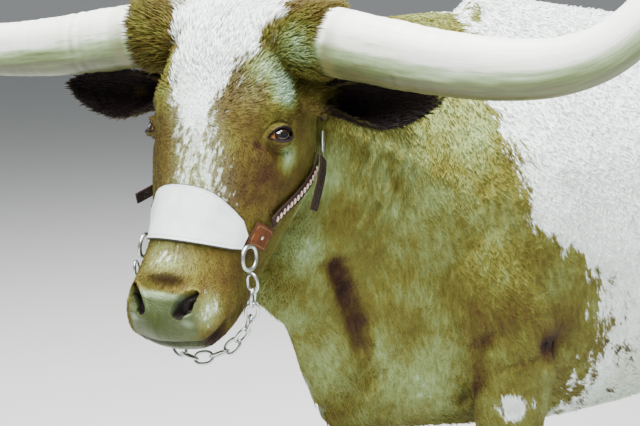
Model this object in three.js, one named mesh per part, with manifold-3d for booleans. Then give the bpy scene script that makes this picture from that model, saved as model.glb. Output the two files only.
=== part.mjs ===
// A standing Texas longhorn steer with its head turned to its left, life size, in millimetres.
// +Z is up, the steer faces -Y and its left side is +X. The origin is on the floor, under the
// middle of its bounding box. The flesh is lofted from named sections, fused and parted with thin cuts.
import * as THREE from 'three';
import { mergeVertices } from 'three/addons/utils/BufferGeometryUtils.js';
import Module from 'manifold-3d';

const wasm = await Module();
wasm.setup();

// Driving dimensions of the body.
const WITHERS = 1510;
const HIP = 1515;
const CHEST_DEPTH = 455;
const ELBOW = 850;
const STIFLE = 900;
const KNEE = 432;
const HOCK = 552;
const CORONET = 72;
const FRONT_FOOT = { x: 165, y: -612 };
const HIND_FOOT = { x: 165, y: 668 };

// Driving dimensions of the head. Its own axes are x to its left, up along the face, and front.
const POLL = new THREE.Vector3(128, -1168, 1505);
const HEAD_TURN = 33.9;
const HEAD_TILT = 24.9;
const HEAD_ROLL = 1.1;
const HEAD_LENGTH = 551;
const BROW_HALF = 127;
const BOSS_END = 166;
const HORN_RADIUS = 53;
const HORN_TIP_RADIUS = 5;
const EYE_RADIUS = 19;
const EAR_LENGTH = 192;
const EAR_THICKNESS = 5;

// Gap that touching pieces keep between their faces.
const GAP = 0.3;
const SMALLEST_DETAIL = 0.4;
const SIDES = [{ name: 'left', sign: 1 }, { name: 'right', sign: -1 }];

const rad = THREE.MathUtils.degToRad;
const vec = (x, y, z) => new THREE.Vector3(x, y, z);
const mix = THREE.MathUtils.lerp;
const xyz = ({ x, y, z }) => ({ x, y, z });

// Repeatable numbers from 0 to 1 for what varies from lock to lock.
function sequence(seed) {
  let state = seed;
  return () => {
    state = (state * 1664525 + 1013904223) % 4294967296;
    return state / 4294967296;
  };
}

// Joining and cutting.

function solidOf(geometry) {
  const bare = new THREE.BufferGeometry();
  bare.setAttribute('position', geometry.getAttribute('position'));
  bare.setIndex(geometry.index);
  const merged = mergeVertices(bare, 1e-3);
  return new wasm.Manifold(new wasm.Mesh({
    numProp: 3,
    vertProperties: merged.attributes.position.array,
    triVerts: new Uint32Array(merged.index.array),
  }));
}

function geometryOf(solid) {
  const mesh = solid.getMesh();
  const geometry = new THREE.BufferGeometry();
  geometry.setAttribute('position', new THREE.BufferAttribute(new Float32Array(mesh.vertProperties), 3));
  geometry.setIndex(new THREE.BufferAttribute(new Uint32Array(mesh.triVerts), 1));
  return geometry;
}

function fuse(solids) {
  return solids.reduce((whole, solid) => whole.add(solid));
}

// The largest closed surface of a solid, without the scraps that a cut leaves.
function mainBody(solid) {
  const bodies = solid.decompose();
  return bodies.reduce((most, body) => (body.volume() > most.volume() ? body : most));
}

// A box between two corners.
function boxSolid(low, high) {
  const size = vec().subVectors(high, low);
  const box = new THREE.BoxGeometry(size.x, size.y, size.z);
  box.translate((low.x + high.x) / 2, (low.y + high.y) / 2, (low.z + high.z) / 2);
  return solidOf(box);
}

// Everything on one side of a plane, kept half a gap clear of it. The normal points into what is kept.
function sideOf(point, normal) {
  const reach = 9000;
  const box = new THREE.BoxGeometry(reach, reach, reach);
  box.translate(0, 0, reach / 2 + GAP / 2);
  const turn = new THREE.Quaternion().setFromUnitVectors(vec(0, 0, 1), normal.clone().normalize());
  box.applyQuaternion(turn);
  box.translate(point.x, point.y, point.z);
  return solidOf(box);
}

const flip = (plane) => ({ point: plane.point, normal: plane.normal.clone().negate() });
const keep = (solid, plane) => solid.intersect(sideOf(plane.point, plane.normal));
const level = (z) => ({ point: vec(0, 0, z), normal: vec(0, 0, 1) });

// Surfaces.

// A closed surface from a grid of points, one row for each ring, with a point at each end.
function ringSurface(rings, firstPole, lastPole) {
  const around = rings[0].length;
  const points = [...rings.flat(), firstPole, lastPole];
  const first = rings.length * around;
  const triangles = [];
  for (let i = 0; i < rings.length - 1; i++) {
    for (let j = 0; j < around; j++) {
      const next = (j + 1) % around;
      const [a, b] = [i * around + j, i * around + next];
      const [c, d] = [a + around, b + around];
      triangles.push(a, b, d, a, d, c);
    }
  }
  const last = (rings.length - 1) * around;
  for (let j = 0; j < around; j++) {
    const next = (j + 1) % around;
    triangles.push(first, next, j, first + 1, last + j, last + next);
  }
  return closedSurface(points, triangles);
}

// A closed sheet with two faces, each a grid of points with the same rows and columns.
function sheetSurface(outer, inner) {
  const [rows, columns] = [outer.length, outer[0].length];
  const offset = rows * columns;
  const points = [...outer.flat(), ...inner.flat()];
  const at = (i, j) => i * columns + j;
  const triangles = [];
  const quad = (a, b, c, d) => triangles.push(a, b, c, a, c, d);
  for (let i = 0; i < rows - 1; i++) {
    for (let j = 0; j < columns - 1; j++) {
      const [a, b, c, d] = [at(i, j), at(i, j + 1), at(i + 1, j + 1), at(i + 1, j)];
      quad(a, b, c, d);
      triangles.push(a + offset, c + offset, b + offset, a + offset, d + offset, c + offset);
    }
  }
  const rim = [];
  for (let j = 0; j < columns - 1; j++) rim.push(at(0, j));
  for (let i = 0; i < rows - 1; i++) rim.push(at(i, columns - 1));
  for (let j = columns - 1; j > 0; j--) rim.push(at(rows - 1, j));
  for (let i = rows - 1; i > 0; i--) rim.push(at(i, 0));
  rim.forEach((a, k) => {
    const b = rim[(k + 1) % rim.length];
    quad(b, a, a + offset, b + offset);
  });
  return closedSurface(points, triangles);
}

// Turns the faces outwards, whichever way the grid ran.
function closedSurface(points, triangles) {
  let volume = 0;
  for (let i = 0; i < triangles.length; i += 3) {
    const [a, b, c] = [points[triangles[i]], points[triangles[i + 1]], points[triangles[i + 2]]];
    volume += a.dot(vec().crossVectors(b, c));
  }
  if (volume < 0) triangles.reverse();
  const geometry = new THREE.BufferGeometry().setFromPoints(points);
  geometry.setIndex(triangles);
  return geometry;
}

// Values between the stations of a loft, on smooth curves through every station.
function between(stations, keys) {
  const curves = keys.map((key) => new THREE.CatmullRomCurve3(
    stations.map((station) => vec(station[key] ?? 0, 0, 0)), false, 'catmullrom', 0.5));
  return (share) => Object.fromEntries(keys.map((key, k) => [key, curves[k].getPoint(share).x]));
}

// A rounded section: half across, rise above its centre and drop below it. A squareness under 1
// fills the corners out, and topWidth and lowWidth widen or narrow its two ends.
function sectionPoint(s, angle) {
  const [c, n] = [Math.cos(angle), Math.sin(angle)];
  const across = Math.sign(c) * Math.abs(c) ** s.square;
  const along = Math.sign(n) * Math.abs(n) ** s.square;
  const width = mix(1, n > 0 ? s.topWidth : s.lowWidth, along * along);
  return [s.half * across * width, along * (n > 0 ? s.rise : s.drop)];
}

// Lofts the stations, each with its centre x, y, z and its section, and the axes that its section lies on.
const SECTION_KEYS = ['x', 'y', 'z', 'half', 'rise', 'drop', 'square', 'topWidth', 'lowWidth'];
function loftRings(stations, axesAt, around, ringCount) {
  const plain = { x: 0, square: 1, topWidth: 1, lowWidth: 1 };
  const at = between(stations.map((station) => ({ ...plain, ...station })), SECTION_KEYS);
  return Array.from({ length: ringCount }, (_, i) => {
    const share = i / (ringCount - 1);
    const s = at(share);
    const { side, up } = axesAt(share);
    return Array.from({ length: around }, (_, j) => {
      const [across, along] = sectionPoint(s, (j / around) * 2 * Math.PI);
      return vec(s.x, s.y, s.z).addScaledVector(side, across).addScaledVector(up, along);
    });
  });
}

function centreOf(ring) {
  return ring.reduce((sum, point) => sum.add(point), vec()).divideScalar(ring.length);
}

// Rings closed with a flat end on each side, after each point is moved by the muscle forms.
function loft(rings, forms = []) {
  rings.forEach((ring) => ring.forEach((point) => moveByForms(point, forms)));
  return ringSurface(rings, centreOf(rings[0]), centreOf(rings[rings.length - 1]));
}

// Each form is a soft swelling or hollow: it moves what lies within its reach of a point by a push.
function moveByForms(point, forms) {
  const from = point.clone();
  forms.forEach(({ at, reach, push }) => {
    const d = vec().subVectors(from, at).divide(reach);
    point.addScaledVector(push, Math.exp(-d.lengthSq()));
  });
}

// The same forms on both sides of the body.
function bothSides(forms) {
  const mirror = vec(-1, 1, 1);
  return forms.flatMap(({ at, reach, push }) => [
    { at, reach, push },
    { at: at.clone().multiply(mirror), reach, push: push.clone().multiply(mirror) },
  ]);
}

// Trunk, from the brisket back to the pin bones.

const TRUNK_STATIONS = [
  { y: -918, z: 880, half: 34, rise: 90, drop: 160 },
  { y: -890, z: 940, half: 84, rise: 150, drop: 245, lowWidth: 0.6 },
  { y: -815, z: 1000, half: 146, rise: 220, drop: 322, lowWidth: 0.55, topWidth: 0.7 },
  { y: -715, z: 1065, half: 206, rise: 300, drop: 400, lowWidth: 0.68, topWidth: 0.55 },
  { y: -590, z: 1105, half: 252, rise: WITHERS - 1105, drop: CHEST_DEPTH, lowWidth: 0.88, topWidth: 0.48 },
  { y: -430, z: 1105, half: 268, rise: 400, drop: 472, square: 0.95, topWidth: 0.54 },
  { y: -230, z: 1090, half: 298, rise: 394, drop: 450, square: 0.9, topWidth: 0.64 },
  { y: 0, z: 1082, half: 322, rise: 384, drop: 410, square: 0.9, topWidth: 0.72 },
  { y: 210, z: 1092, half: 318, rise: 380, drop: 357, square: 0.88, topWidth: 0.77 },
  { y: 390, z: 1140, half: 282, rise: 362, drop: 332, square: 0.88, topWidth: 0.86 },
  { y: 530, z: 1190, half: 260, rise: HIP - 1190, drop: 262, square: 0.85, topWidth: 0.84 },
  { y: 680, z: 1200, half: 248, rise: 306, drop: 250, square: 0.88, topWidth: 0.74 },
  { y: 800, z: 1215, half: 207, rise: 250, drop: 228, square: 0.92, topWidth: 0.62 },
  { y: 862, z: 1235, half: 128, rise: 176, drop: 170, topWidth: 0.7 },
  { y: 880, z: 1245, half: 50, rise: 90, drop: 90 },
];

// Shoulder blade, point of the shoulder, ribs, hollow before the hip, hooks and pins.
const TRUNK_FORMS = bothSides([
  { at: vec(235, -560, 1240), reach: vec(120, 105, 210), push: vec(16, 0, 0) },
  { at: vec(215, -745, 1020), reach: vec(110, 95, 110), push: vec(26, -16, 0) },
  { at: vec(235, -640, 880), reach: vec(100, 110, 100), push: vec(18, 0, 0) },
  { at: vec(250, -400, 1180), reach: vec(120, 70, 200), push: vec(-12, 0, 0) },
  { at: vec(270, 330, 1330), reach: vec(120, 100, 90), push: vec(-30, 0, -6) },
  { at: vec(235, 505, 1440), reach: vec(75, 70, 60), push: vec(20, 0, 16) },
  { at: vec(240, 640, 1390), reach: vec(110, 80, 70), push: vec(-16, 0, -8) },
  { at: vec(120, 835, 1330), reach: vec(70, 60, 60), push: vec(10, 14, 8) },
  { at: vec(280, 400, 1000), reach: vec(120, 70, 110), push: vec(-18, 0, 0) },
]);

function trunk() {
  const axes = { side: vec(1, 0, 0), up: vec(0, 0, 1) };
  return solidOf(loft(loftRings(TRUNK_STATIONS, () => axes, 28, 21), TRUNK_FORMS));
}

// Head axes, and places on the head in its own axes: x to its left, up towards the poll, and front.

const HEAD = {
  left: vec(1, 0, 0).applyAxisAngle(vec(0, 0, 1), rad(HEAD_TURN)),
  facing: vec(0, -1, 0).applyAxisAngle(vec(0, 0, 1), rad(HEAD_TURN)),
};
HEAD.front = HEAD.facing.clone().applyAxisAngle(HEAD.left, -rad(HEAD_TILT));
HEAD.up = vec().crossVectors(HEAD.front, HEAD.left).applyAxisAngle(HEAD.front, -rad(HEAD_ROLL));
HEAD.left.applyAxisAngle(HEAD.front, -rad(HEAD_ROLL));

// A direction in the head's axes, and a place on the head.
function alongHead(x, up, front) {
  return vec().addScaledVector(HEAD.left, x).addScaledVector(HEAD.up, up).addScaledVector(HEAD.front, front);
}

function onHead(x, up, front) {
  return alongHead(x, up, front).add(POLL);
}

function toWorld(point) {
  return point.copy(onHead(point.x, point.y, point.z));
}

// Neck, from inside the head to inside the shoulders. It bends to the left, and each section leans with it.

const NAPE = onHead(0, -112, -92);
const THROAT = onHead(0, -138, -188);
const NECK_STATIONS = [
  { ...xyz(NAPE), lean: -14, turn: HEAD_TURN, half: 84, rise: 84, drop: 120 },
  { ...xyz(THROAT), lean: 8, turn: HEAD_TURN, half: 102, rise: 140, drop: 296, topWidth: 0.85, lowWidth: 0.4 },
  { x: 66, y: -980, z: 1264, lean: 14, turn: 24,
    half: 132, rise: 205, drop: 322, topWidth: 0.72, lowWidth: 0.36 },
  { x: 30, y: -880, z: 1222, lean: 18, turn: 13,
    half: 172, rise: 262, drop: 388, topWidth: 0.56, lowWidth: 0.34 },
  { x: 6, y: -770, z: 1180, lean: 20, turn: 4,
    half: 214, rise: 322, drop: 466, topWidth: 0.48, lowWidth: 0.36 },
  { y: -660, z: 1150, lean: 20, turn: 0, half: 248, rise: 354, drop: 430, lowWidth: 0.44, topWidth: 0.5 },
  { y: -560, z: 1130, lean: 14, turn: 0, half: 263, rise: 372, drop: 390, lowWidth: 0.52, topWidth: 0.55 },
  { y: -480, z: 1120, lean: 8, turn: 0, half: 236, rise: 350, drop: 340, lowWidth: 0.52, topWidth: 0.55 },
];

// Folds that the turned neck presses up on its left side, each a ridge with a hollow behind it.
const FOLDS = { count: 4, first: vec(176, -1010, 1290), step: vec(-14, 46, -8), depth: 7 };
const NECK_FORMS = [
  { at: vec(130, -905, 1050), reach: vec(60, 34, 120), push: vec(-26, 0, 0) },
  { at: vec(-130, -880, 1080), reach: vec(70, 40, 150), push: vec(14, 0, 0) },
  ...Array.from({ length: FOLDS.count * 2 }, (_, i) => ({
    at: FOLDS.first.clone().addScaledVector(FOLDS.step, i / 2),
    reach: vec(60, 13, 110),
    push: vec(i % 2 ? -FOLDS.depth : FOLDS.depth, 0, 0),
  })),
];

function neck() {
  const at = between(NECK_STATIONS, ['lean', 'turn']);
  const axesAt = (share) => {
    const { lean, turn } = at(share);
    const side = vec(1, 0, 0).applyAxisAngle(vec(0, 0, 1), rad(turn));
    return { side, up: vec(0, 0, 1).applyAxisAngle(side, -rad(lean)) };
  };
  return solidOf(loft(loftRings(NECK_STATIONS, axesAt, 24, 14), NECK_FORMS));
}

// Head, lofted from the poll down to the lips. Each section gives the face's front line and its back line.

const FACE = [
  { down: -24, front: -58, back: -112, half: 44 },
  { down: -13, front: -34, back: -150, half: 86, square: 0.9 },
  { down: 12, front: -12, back: -182, half: 106, square: 0.8 },
  { down: 55, front: 1, back: -205, half: 114, square: 0.76, topWidth: 0.98 },
  { down: 105, front: 7, back: -228, half: 118, square: 0.76, topWidth: 0.98, lowWidth: 0.82 },
  { down: 160, front: 9, back: -252, half: 124, square: 0.76, topWidth: 0.96, lowWidth: 0.72 },
  { down: 212, front: 8, back: -268, half: BROW_HALF, square: 0.8, topWidth: 0.9, lowWidth: 0.62 },
  { down: 262, front: 5, back: -270, half: 118, square: 0.82, topWidth: 0.86, lowWidth: 0.58 },
  { down: 315, front: 2, back: -264, half: 104, square: 0.82, topWidth: 0.84, lowWidth: 0.56 },
  { down: 362, front: 0, back: -254, half: 91, square: 0.82, topWidth: 0.84, lowWidth: 0.62 },
  { down: 405, front: 1, back: -242, half: 83, square: 0.82, topWidth: 0.86, lowWidth: 0.52 },
  { down: 442, front: 5, back: -226, half: 80, square: 0.82, topWidth: 0.88, lowWidth: 0.58 },
  { down: 478, front: 5, back: -194, half: 82, square: 0.82, topWidth: 0.88, lowWidth: 0.64 },
  { down: 508, front: -3, back: -158, half: 81, square: 0.84, topWidth: 0.86, lowWidth: 0.66 },
  { down: 530, front: -18, back: -130, half: 71, square: 0.86, topWidth: 0.86, lowWidth: 0.66 },
  { down: 543, front: -35, back: -114, half: 52, square: 0.9 },
  { down: HEAD_LENGTH, front: -58, back: -88, half: 18 },
];

const EYE = { x: 106, up: -207, front: -60 };
const EYE_AXIS = vec(0.83, 0.02, 0.55).normalize();
const NOSTRIL = { x: 49, up: -500, front: 0 };

// Brow, eye socket, temple, cheek, the step above the nose pad, wings of the nostrils, lips and chin.
const MUZZLE_TURN = { at: vec(0, -520, -60), reach: vec(200, 120, 200), push: vec(-6, 0, 0) };
const FACE_FORMS = [MUZZLE_TURN, ...bothSides([
  { at: vec(114, -167, -24), reach: vec(34, 34, 34), push: vec(8, 0, 6) },
  { at: vec(122, -213, -52), reach: vec(24, 20, 26), push: vec(-12, 0, -9) },
  { at: vec(116, -105, -70), reach: vec(40, 40, 45), push: vec(-10, 0, -2) },
  { at: vec(92, -300, -92), reach: vec(30, 60, 24), push: vec(7, 0, 0) },
  { at: vec(72, -345, -30), reach: vec(30, 60, 28), push: vec(-7, 0, -2) },
  { at: vec(88, -245, -190), reach: vec(40, 70, 60), push: vec(12, 0, 0) },
  { at: vec(46, -494, 2), reach: vec(24, 26, 26), push: vec(5, 0, 12) },
  { at: vec(80, -455, -55), reach: vec(26, 40, 40), push: vec(3, 0, 0) },
  { at: vec(0, -452, 8), reach: vec(46, 13, 20), push: vec(0, 0, 3) },
  { at: vec(0, -470, 8), reach: vec(38, 9, 20), push: vec(0, 0, -5) },
  { at: vec(0, -528, -20), reach: vec(20, 24, 30), push: vec(0, -2, 3) },
  { at: vec(0, -520, -138), reach: vec(36, 26, 26), push: vec(0, 2, -6) },
  { at: vec(0, -330, -262), reach: vec(30, 90, 40), push: vec(0, 0, 10) },
])];

// Where the angle is a quarter turn the section meets the middle of the face.
const faceAt = between(FACE.map((s) => ({ square: 1, topWidth: 1, lowWidth: 1, ...s })),
  ['down', 'front', 'back', 'half', 'square', 'topWidth', 'lowWidth']);
const FACE_MIDDLE = 0.46;

function faceSection(share) {
  const s = faceAt(share);
  const centre = mix(s.front, s.back, FACE_MIDDLE);
  return { ...s, centre, rise: s.front - centre, drop: centre - s.back };
}

function facePoint(share, angle) {
  const s = faceSection(share);
  const [across, along] = sectionPoint(s, angle);
  const point = vec(across, -s.down, s.centre + along);
  moveByForms(point, FACE_FORMS);
  return point;
}

// How far along the loft a section lies that is this far down the face.
function shareDown(down) {
  let [low, high] = [0, 1];
  for (let i = 0; i < 30; i++) {
    const middle = (low + high) / 2;
    if (faceAt(middle).down < down) low = middle;
    else high = middle;
  }
  return low;
}

// A ring of sections is closest where the face has most detail: brow to eye, and the muzzle.
const FACE_RINGS = 32;
const FACE_AROUND = 32;

function skull() {
  const rings = Array.from({ length: FACE_RINGS }, (_, i) => (
    Array.from({ length: FACE_AROUND }, (_, j) => (
      toWorld(facePoint(i / (FACE_RINGS - 1), (j / FACE_AROUND) * 2 * Math.PI))))));
  return solidOf(loft(rings));
}

// A round tube along a curve, with a radius for each share of its length.
function tube(curve, radiusAt, around, ringCount) {
  const frames = curve.computeFrenetFrames(ringCount - 1, false);
  const rings = Array.from({ length: ringCount }, (_, i) => {
    const share = i / (ringCount - 1);
    const centre = curve.getPointAt(share);
    return Array.from({ length: around }, (_, j) => {
      const angle = (j / around) * 2 * Math.PI;
      return centre.clone()
        .addScaledVector(frames.normals[i], radiusAt(share) * Math.cos(angle))
        .addScaledVector(frames.binormals[i], radiusAt(share) * Math.sin(angle));
    });
  });
  return ringSurface(rings, curve.getPointAt(0), curve.getPointAt(1));
}

function headCurve(points) {
  return new THREE.CatmullRomCurve3(points.map(([x, up, front]) => onHead(x, up, front)));
}

// Horn, from under the hair out to the side, a little down, then up to the tip.
const HORN_LINE = [
  [140, -46, -48], [250, -67, -42], [350, -84, -37], [450, -93, -32], [530, -88, -27],
  [592, -64, -22], [640, -16, -18], [676, 60, -20], [703, 160, -30], [726, 270, -48], [748, 392, -66],
];

function hornLine(sign) {
  return headCurve(HORN_LINE.map(([x, up, front]) => [sign * x, up, front]));
}

function hornRadius(share) {
  return mix(HORN_RADIUS, HORN_TIP_RADIUS, share ** 1.75) * (1 - 0.04 * Math.sin(Math.PI * share));
}

// The hairline, where the horn leaves the skin.
function hornPlane(sign) {
  const line = hornLine(sign);
  const share = (BOSS_END - HORN_LINE[0][0]) / line.getLength();
  return { point: line.getPointAt(share), normal: line.getTangentAt(share) };
}

function horn(sign) {
  return keep(solidOf(tube(hornLine(sign), hornRadius, 12, 16)), hornPlane(sign));
}

// The haired root under each horn stands out from the poll up to the hairline.
function boss(sign) {
  const line = headCurve([[sign * 40, -44, -66], [sign * 100, -46, -58], [sign * (BOSS_END + 24), -53, -45]]);
  return keep(solidOf(tube(line, (share) => mix(56, HORN_RADIUS + 3, share), 16, 4)), flip(hornPlane(sign)));
}

// Eyes and lids.

function eyeCentre(sign) {
  return onHead(sign * EYE.x, EYE.up, EYE.front);
}

function eyeAxes(sign) {
  const out = alongHead(sign * EYE_AXIS.x, EYE_AXIS.y, EYE_AXIS.z).normalize();
  const back = vec().crossVectors(HEAD.up, out).multiplyScalar(sign).normalize();
  return { out, back, up: vec().crossVectors(out, back).multiplyScalar(sign) };
}

function eyeball(sign, radius) {
  const ball = new THREE.SphereGeometry(radius, 14, 9);
  const centre = eyeCentre(sign);
  const turn = new THREE.Quaternion().setFromUnitVectors(vec(0, 1, 0), eyeAxes(sign).out);
  ball.applyQuaternion(turn);
  ball.translate(centre.x, centre.y, centre.z);
  return solidOf(ball);
}

// The lids are one almond ring that lies on the eyeball. Its outer corner is the higher one.
const LIDS = { halfLong: 20, halfTall: 12, thickness: 5, slant: 24 };

function lids(sign) {
  const { out, back, up } = eyeAxes(sign);
  const count = 20;
  const points = Array.from({ length: count }, (_, i) => {
    const angle = (i / count) * 2 * Math.PI;
    const along = LIDS.halfLong * Math.cos(angle);
    const tall = LIDS.halfTall * Math.sin(angle) * (1 - 0.25 * Math.cos(angle) ** 2);
    const outward = Math.sqrt(Math.max(0, (EYE_RADIUS + 1.5) ** 2 - along ** 2 - tall ** 2));
    const slanted = new THREE.Vector2(along, tall).rotateAround(new THREE.Vector2(), rad(LIDS.slant));
    return eyeCentre(sign).addScaledVector(back, slanted.x).addScaledVector(up, slanted.y)
      .addScaledVector(out, outward);
  });
  return solidOf(closedTube(new THREE.CatmullRomCurve3(points, true), LIDS.thickness, 6, 18));
}

function closedTube(curve, radius, around, steps) {
  const frames = curve.computeFrenetFrames(steps, true);
  const points = [];
  const triangles = [];
  for (let i = 0; i < steps; i++) {
    for (let j = 0; j < around; j++) {
      const angle = (j / around) * 2 * Math.PI;
      points.push(curve.getPointAt(i / steps)
        .addScaledVector(frames.normals[i], radius * Math.cos(angle))
        .addScaledVector(frames.binormals[i], radius * Math.sin(angle)));
      const a = i * around + j;
      const b = i * around + ((j + 1) % around);
      const c = ((i + 1) % steps) * around + j;
      const d = ((i + 1) % steps) * around + ((j + 1) % around);
      triangles.push(a, b, d, a, d, c);
    }
  }
  return closedSurface(points, triangles);
}

// An ellipsoid in the head's own axes, turned about the front axis.
function headEllipsoid(centre, radii, turn) {
  const ball = new THREE.SphereGeometry(1, 12, 8);
  ball.scale(radii.x, radii.y, radii.z);
  ball.rotateZ(rad(turn));
  ball.translate(centre.x, centre.y, centre.z);
  const points = ball.getAttribute('position');
  for (let i = 0; i < points.count; i++) {
    const world = onHead(points.getX(i), points.getY(i), points.getZ(i));
    points.setXYZ(i, world.x, world.y, world.z);
  }
  return solidOf(ball);
}

// Each nostril is a comma: a round opening with a slit that runs up and out from it.
function nostrilCuts(sign) {
  const hole = vec(sign * NOSTRIL.x, NOSTRIL.up, NOSTRIL.front + 8);
  const slit = vec(sign * (NOSTRIL.x + 13), NOSTRIL.up + 14, NOSTRIL.front - 2);
  return [headEllipsoid(hole, vec(12, 15, 26), sign * -24), headEllipsoid(slit, vec(5, 15, 20), sign * -58)];
}

// The line of the mouth: a thin groove from one corner round the front of the lips to the other.
const MOUTH = {
  cornerDown: 424, cornerAngle: -0.62, frontAngle: -0.34, turnDown: 505, opening: 2.2, bite: 8,
};

function mouthGroove() {
  const steps = 12;
  const side = Array.from({ length: steps }, (_, i) => {
    const share = i / steps;
    const down = mix(MOUTH.cornerDown, HEAD_LENGTH - 3, Math.sin((share * Math.PI) / 2));
    const point = facePoint(shareDown(down), mix(MOUTH.cornerAngle, MOUTH.frontAngle, share));
    const out = vec(point.x, point.y + Math.min(down, MOUTH.turnDown), 0).normalize();
    return { point, out };
  });
  const tip = { point: vec(0, -HEAD_LENGTH, side[steps - 1].point.z), out: vec(0, -1, 0) };
  const mirror = ({ x, y, z }) => vec(-x, y, z);
  const otherSide = side.map(({ point, out }) => ({ point: mirror(point), out: mirror(out) }));
  const line = [...side, tip, ...otherSide.reverse()];
  const face = (half) => line.map(({ point, out }) => [
    toWorld(point.clone().addScaledVector(out, 8).add(vec(0, 0, half))),
    toWorld(point.clone().addScaledVector(out, -MOUTH.bite).add(vec(0, 0, half * 0.2))),
  ]);
  return solidOf(sheetSurface(face(MOUTH.opening), face(-MOUTH.opening)));
}

// Ears, each a leaf rolled into a funnel that opens forwards into a cup. The right one points more forwards.

const EAR_ROOT = { x: 122, up: -118, front: -120, parting: 18, depth: 60 };
const EAR_AIM = { left: vec(0.95, 0.13, -0.27), right: vec(-0.97, -0.09, 0.14) };
const EAR_OPENS = vec(0, -0.3, 0.95);

// Along the ear: the radius of the roll, how far round it the leaf goes each way, how far back its wall
// lies, and how far it sags below the line from root to tip.
const EAR_STATIONS = [
  { share: 0, radius: 24, curl: 2.75, back: 24, sag: 0 },
  { share: 0.16, radius: 27, curl: 2.2, back: 25, sag: 2 },
  { share: 0.32, radius: 34, curl: 1.7, back: 24, sag: 6 },
  { share: 0.5, radius: 42, curl: 1.2, back: 20, sag: 8 },
  { share: 0.68, radius: 42, curl: 0.98, back: 15, sag: 5 },
  { share: 0.84, radius: 36, curl: 0.78, back: 9, sag: -1 },
  { share: 0.95, radius: 28, curl: 0.5, back: 5, sag: -6 },
  { share: 1, radius: 22, curl: 0.14, back: 3, sag: -9 },
];

function earAxes(sign) {
  const aim = sign > 0 ? EAR_AIM.left : EAR_AIM.right;
  const along = alongHead(aim.x, aim.y, aim.z).normalize();
  const open = alongHead(0, EAR_OPENS.y, EAR_OPENS.z);
  open.addScaledVector(along, -open.dot(along)).normalize();
  return { along, open, wide: vec().crossVectors(open, along).normalize() };
}

// Where the ear leaves its root, a little way out from the skull.
function earBase(sign) {
  const root = onHead(sign * EAR_ROOT.x, EAR_ROOT.up, EAR_ROOT.front);
  return root.addScaledVector(earAxes(sign).along, EAR_ROOT.parting);
}

function ear(sign) {
  const { along, open, wide } = earAxes(sign);
  const base = earBase(sign).addScaledVector(along, GAP);
  const upward = Math.sign(wide.z) * sign;
  const at = between(EAR_STATIONS, ['share', 'radius', 'curl', 'back', 'sag']);
  const [rows, columns] = [12, 9];
  const face = (thickness) => Array.from({ length: rows }, (_, i) => {
    const s = at(i / (rows - 1));
    return Array.from({ length: columns }, (_, j) => {
      const angle = mix(-s.curl, s.curl, j / (columns - 1));
      const r = s.radius + thickness;
      return base.clone().addScaledVector(along, EAR_LENGTH * s.share)
        .addScaledVector(wide, r * Math.sin(angle) - s.sag * sign * upward)
        .addScaledVector(open, s.radius - s.back - r * Math.cos(angle));
    });
  });
  return solidOf(sheetSurface(face(EAR_THICKNESS), face(0)));
}

// The round root that the ear grows from, on the side of the skull.
function earRoot(sign) {
  const inside = earBase(sign).addScaledVector(earAxes(sign).along, -EAR_ROOT.depth);
  const line = new THREE.LineCurve3(inside, earBase(sign));
  return solidOf(tube(line, (share) => mix(38, EAR_STATIONS[0].radius + EAR_THICKNESS, share), 12, 3));
}

// Legs, from inside the shoulder or the rump down to the coronet.

const FRONT_LEG = [
  { x: 158, y: -665, z: 1120, half: 78, rise: 90, drop: 120 },
  { x: 172, y: -660, z: 1010, half: 88, rise: 125, drop: 130 },
  { x: 182, y: -640, z: 925, half: 88, rise: 118, drop: 122 },
  { x: 186, y: -618, z: ELBOW, half: 80, rise: 100, drop: 110 },
  { x: 184, y: -608, z: 765, half: 69, rise: 82, drop: 90 },
  { x: 176, y: -606, z: 670, half: 57, rise: 62, drop: 66 },
  { x: 167, y: -608, z: 545, half: 43, rise: 47, drop: 47 },
  { x: 165, y: -610, z: 478, half: 43, rise: 46, drop: 42 },
  { x: 165, y: -611, z: KNEE, half: 46, rise: 47, drop: 42 },
  { x: 165, y: -609, z: 385, half: 38, rise: 38, drop: 36 },
  { x: 165, y: -604, z: 310, half: 29, rise: 28, drop: 31 },
  { x: 165, y: -602, z: 225, half: 28, rise: 27, drop: 32 },
  { x: 165, y: -602, z: 170, half: 33, rise: 30, drop: 38 },
  { x: 165, y: -605, z: 135, half: 38, rise: 32, drop: 39 },
  { x: 165, y: -611, z: 100, half: 40, rise: 37, drop: 38 },
  { x: FRONT_FOOT.x, y: FRONT_FOOT.y - 8, z: CORONET - 6, half: 45, rise: 44, drop: 40 },
];

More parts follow.
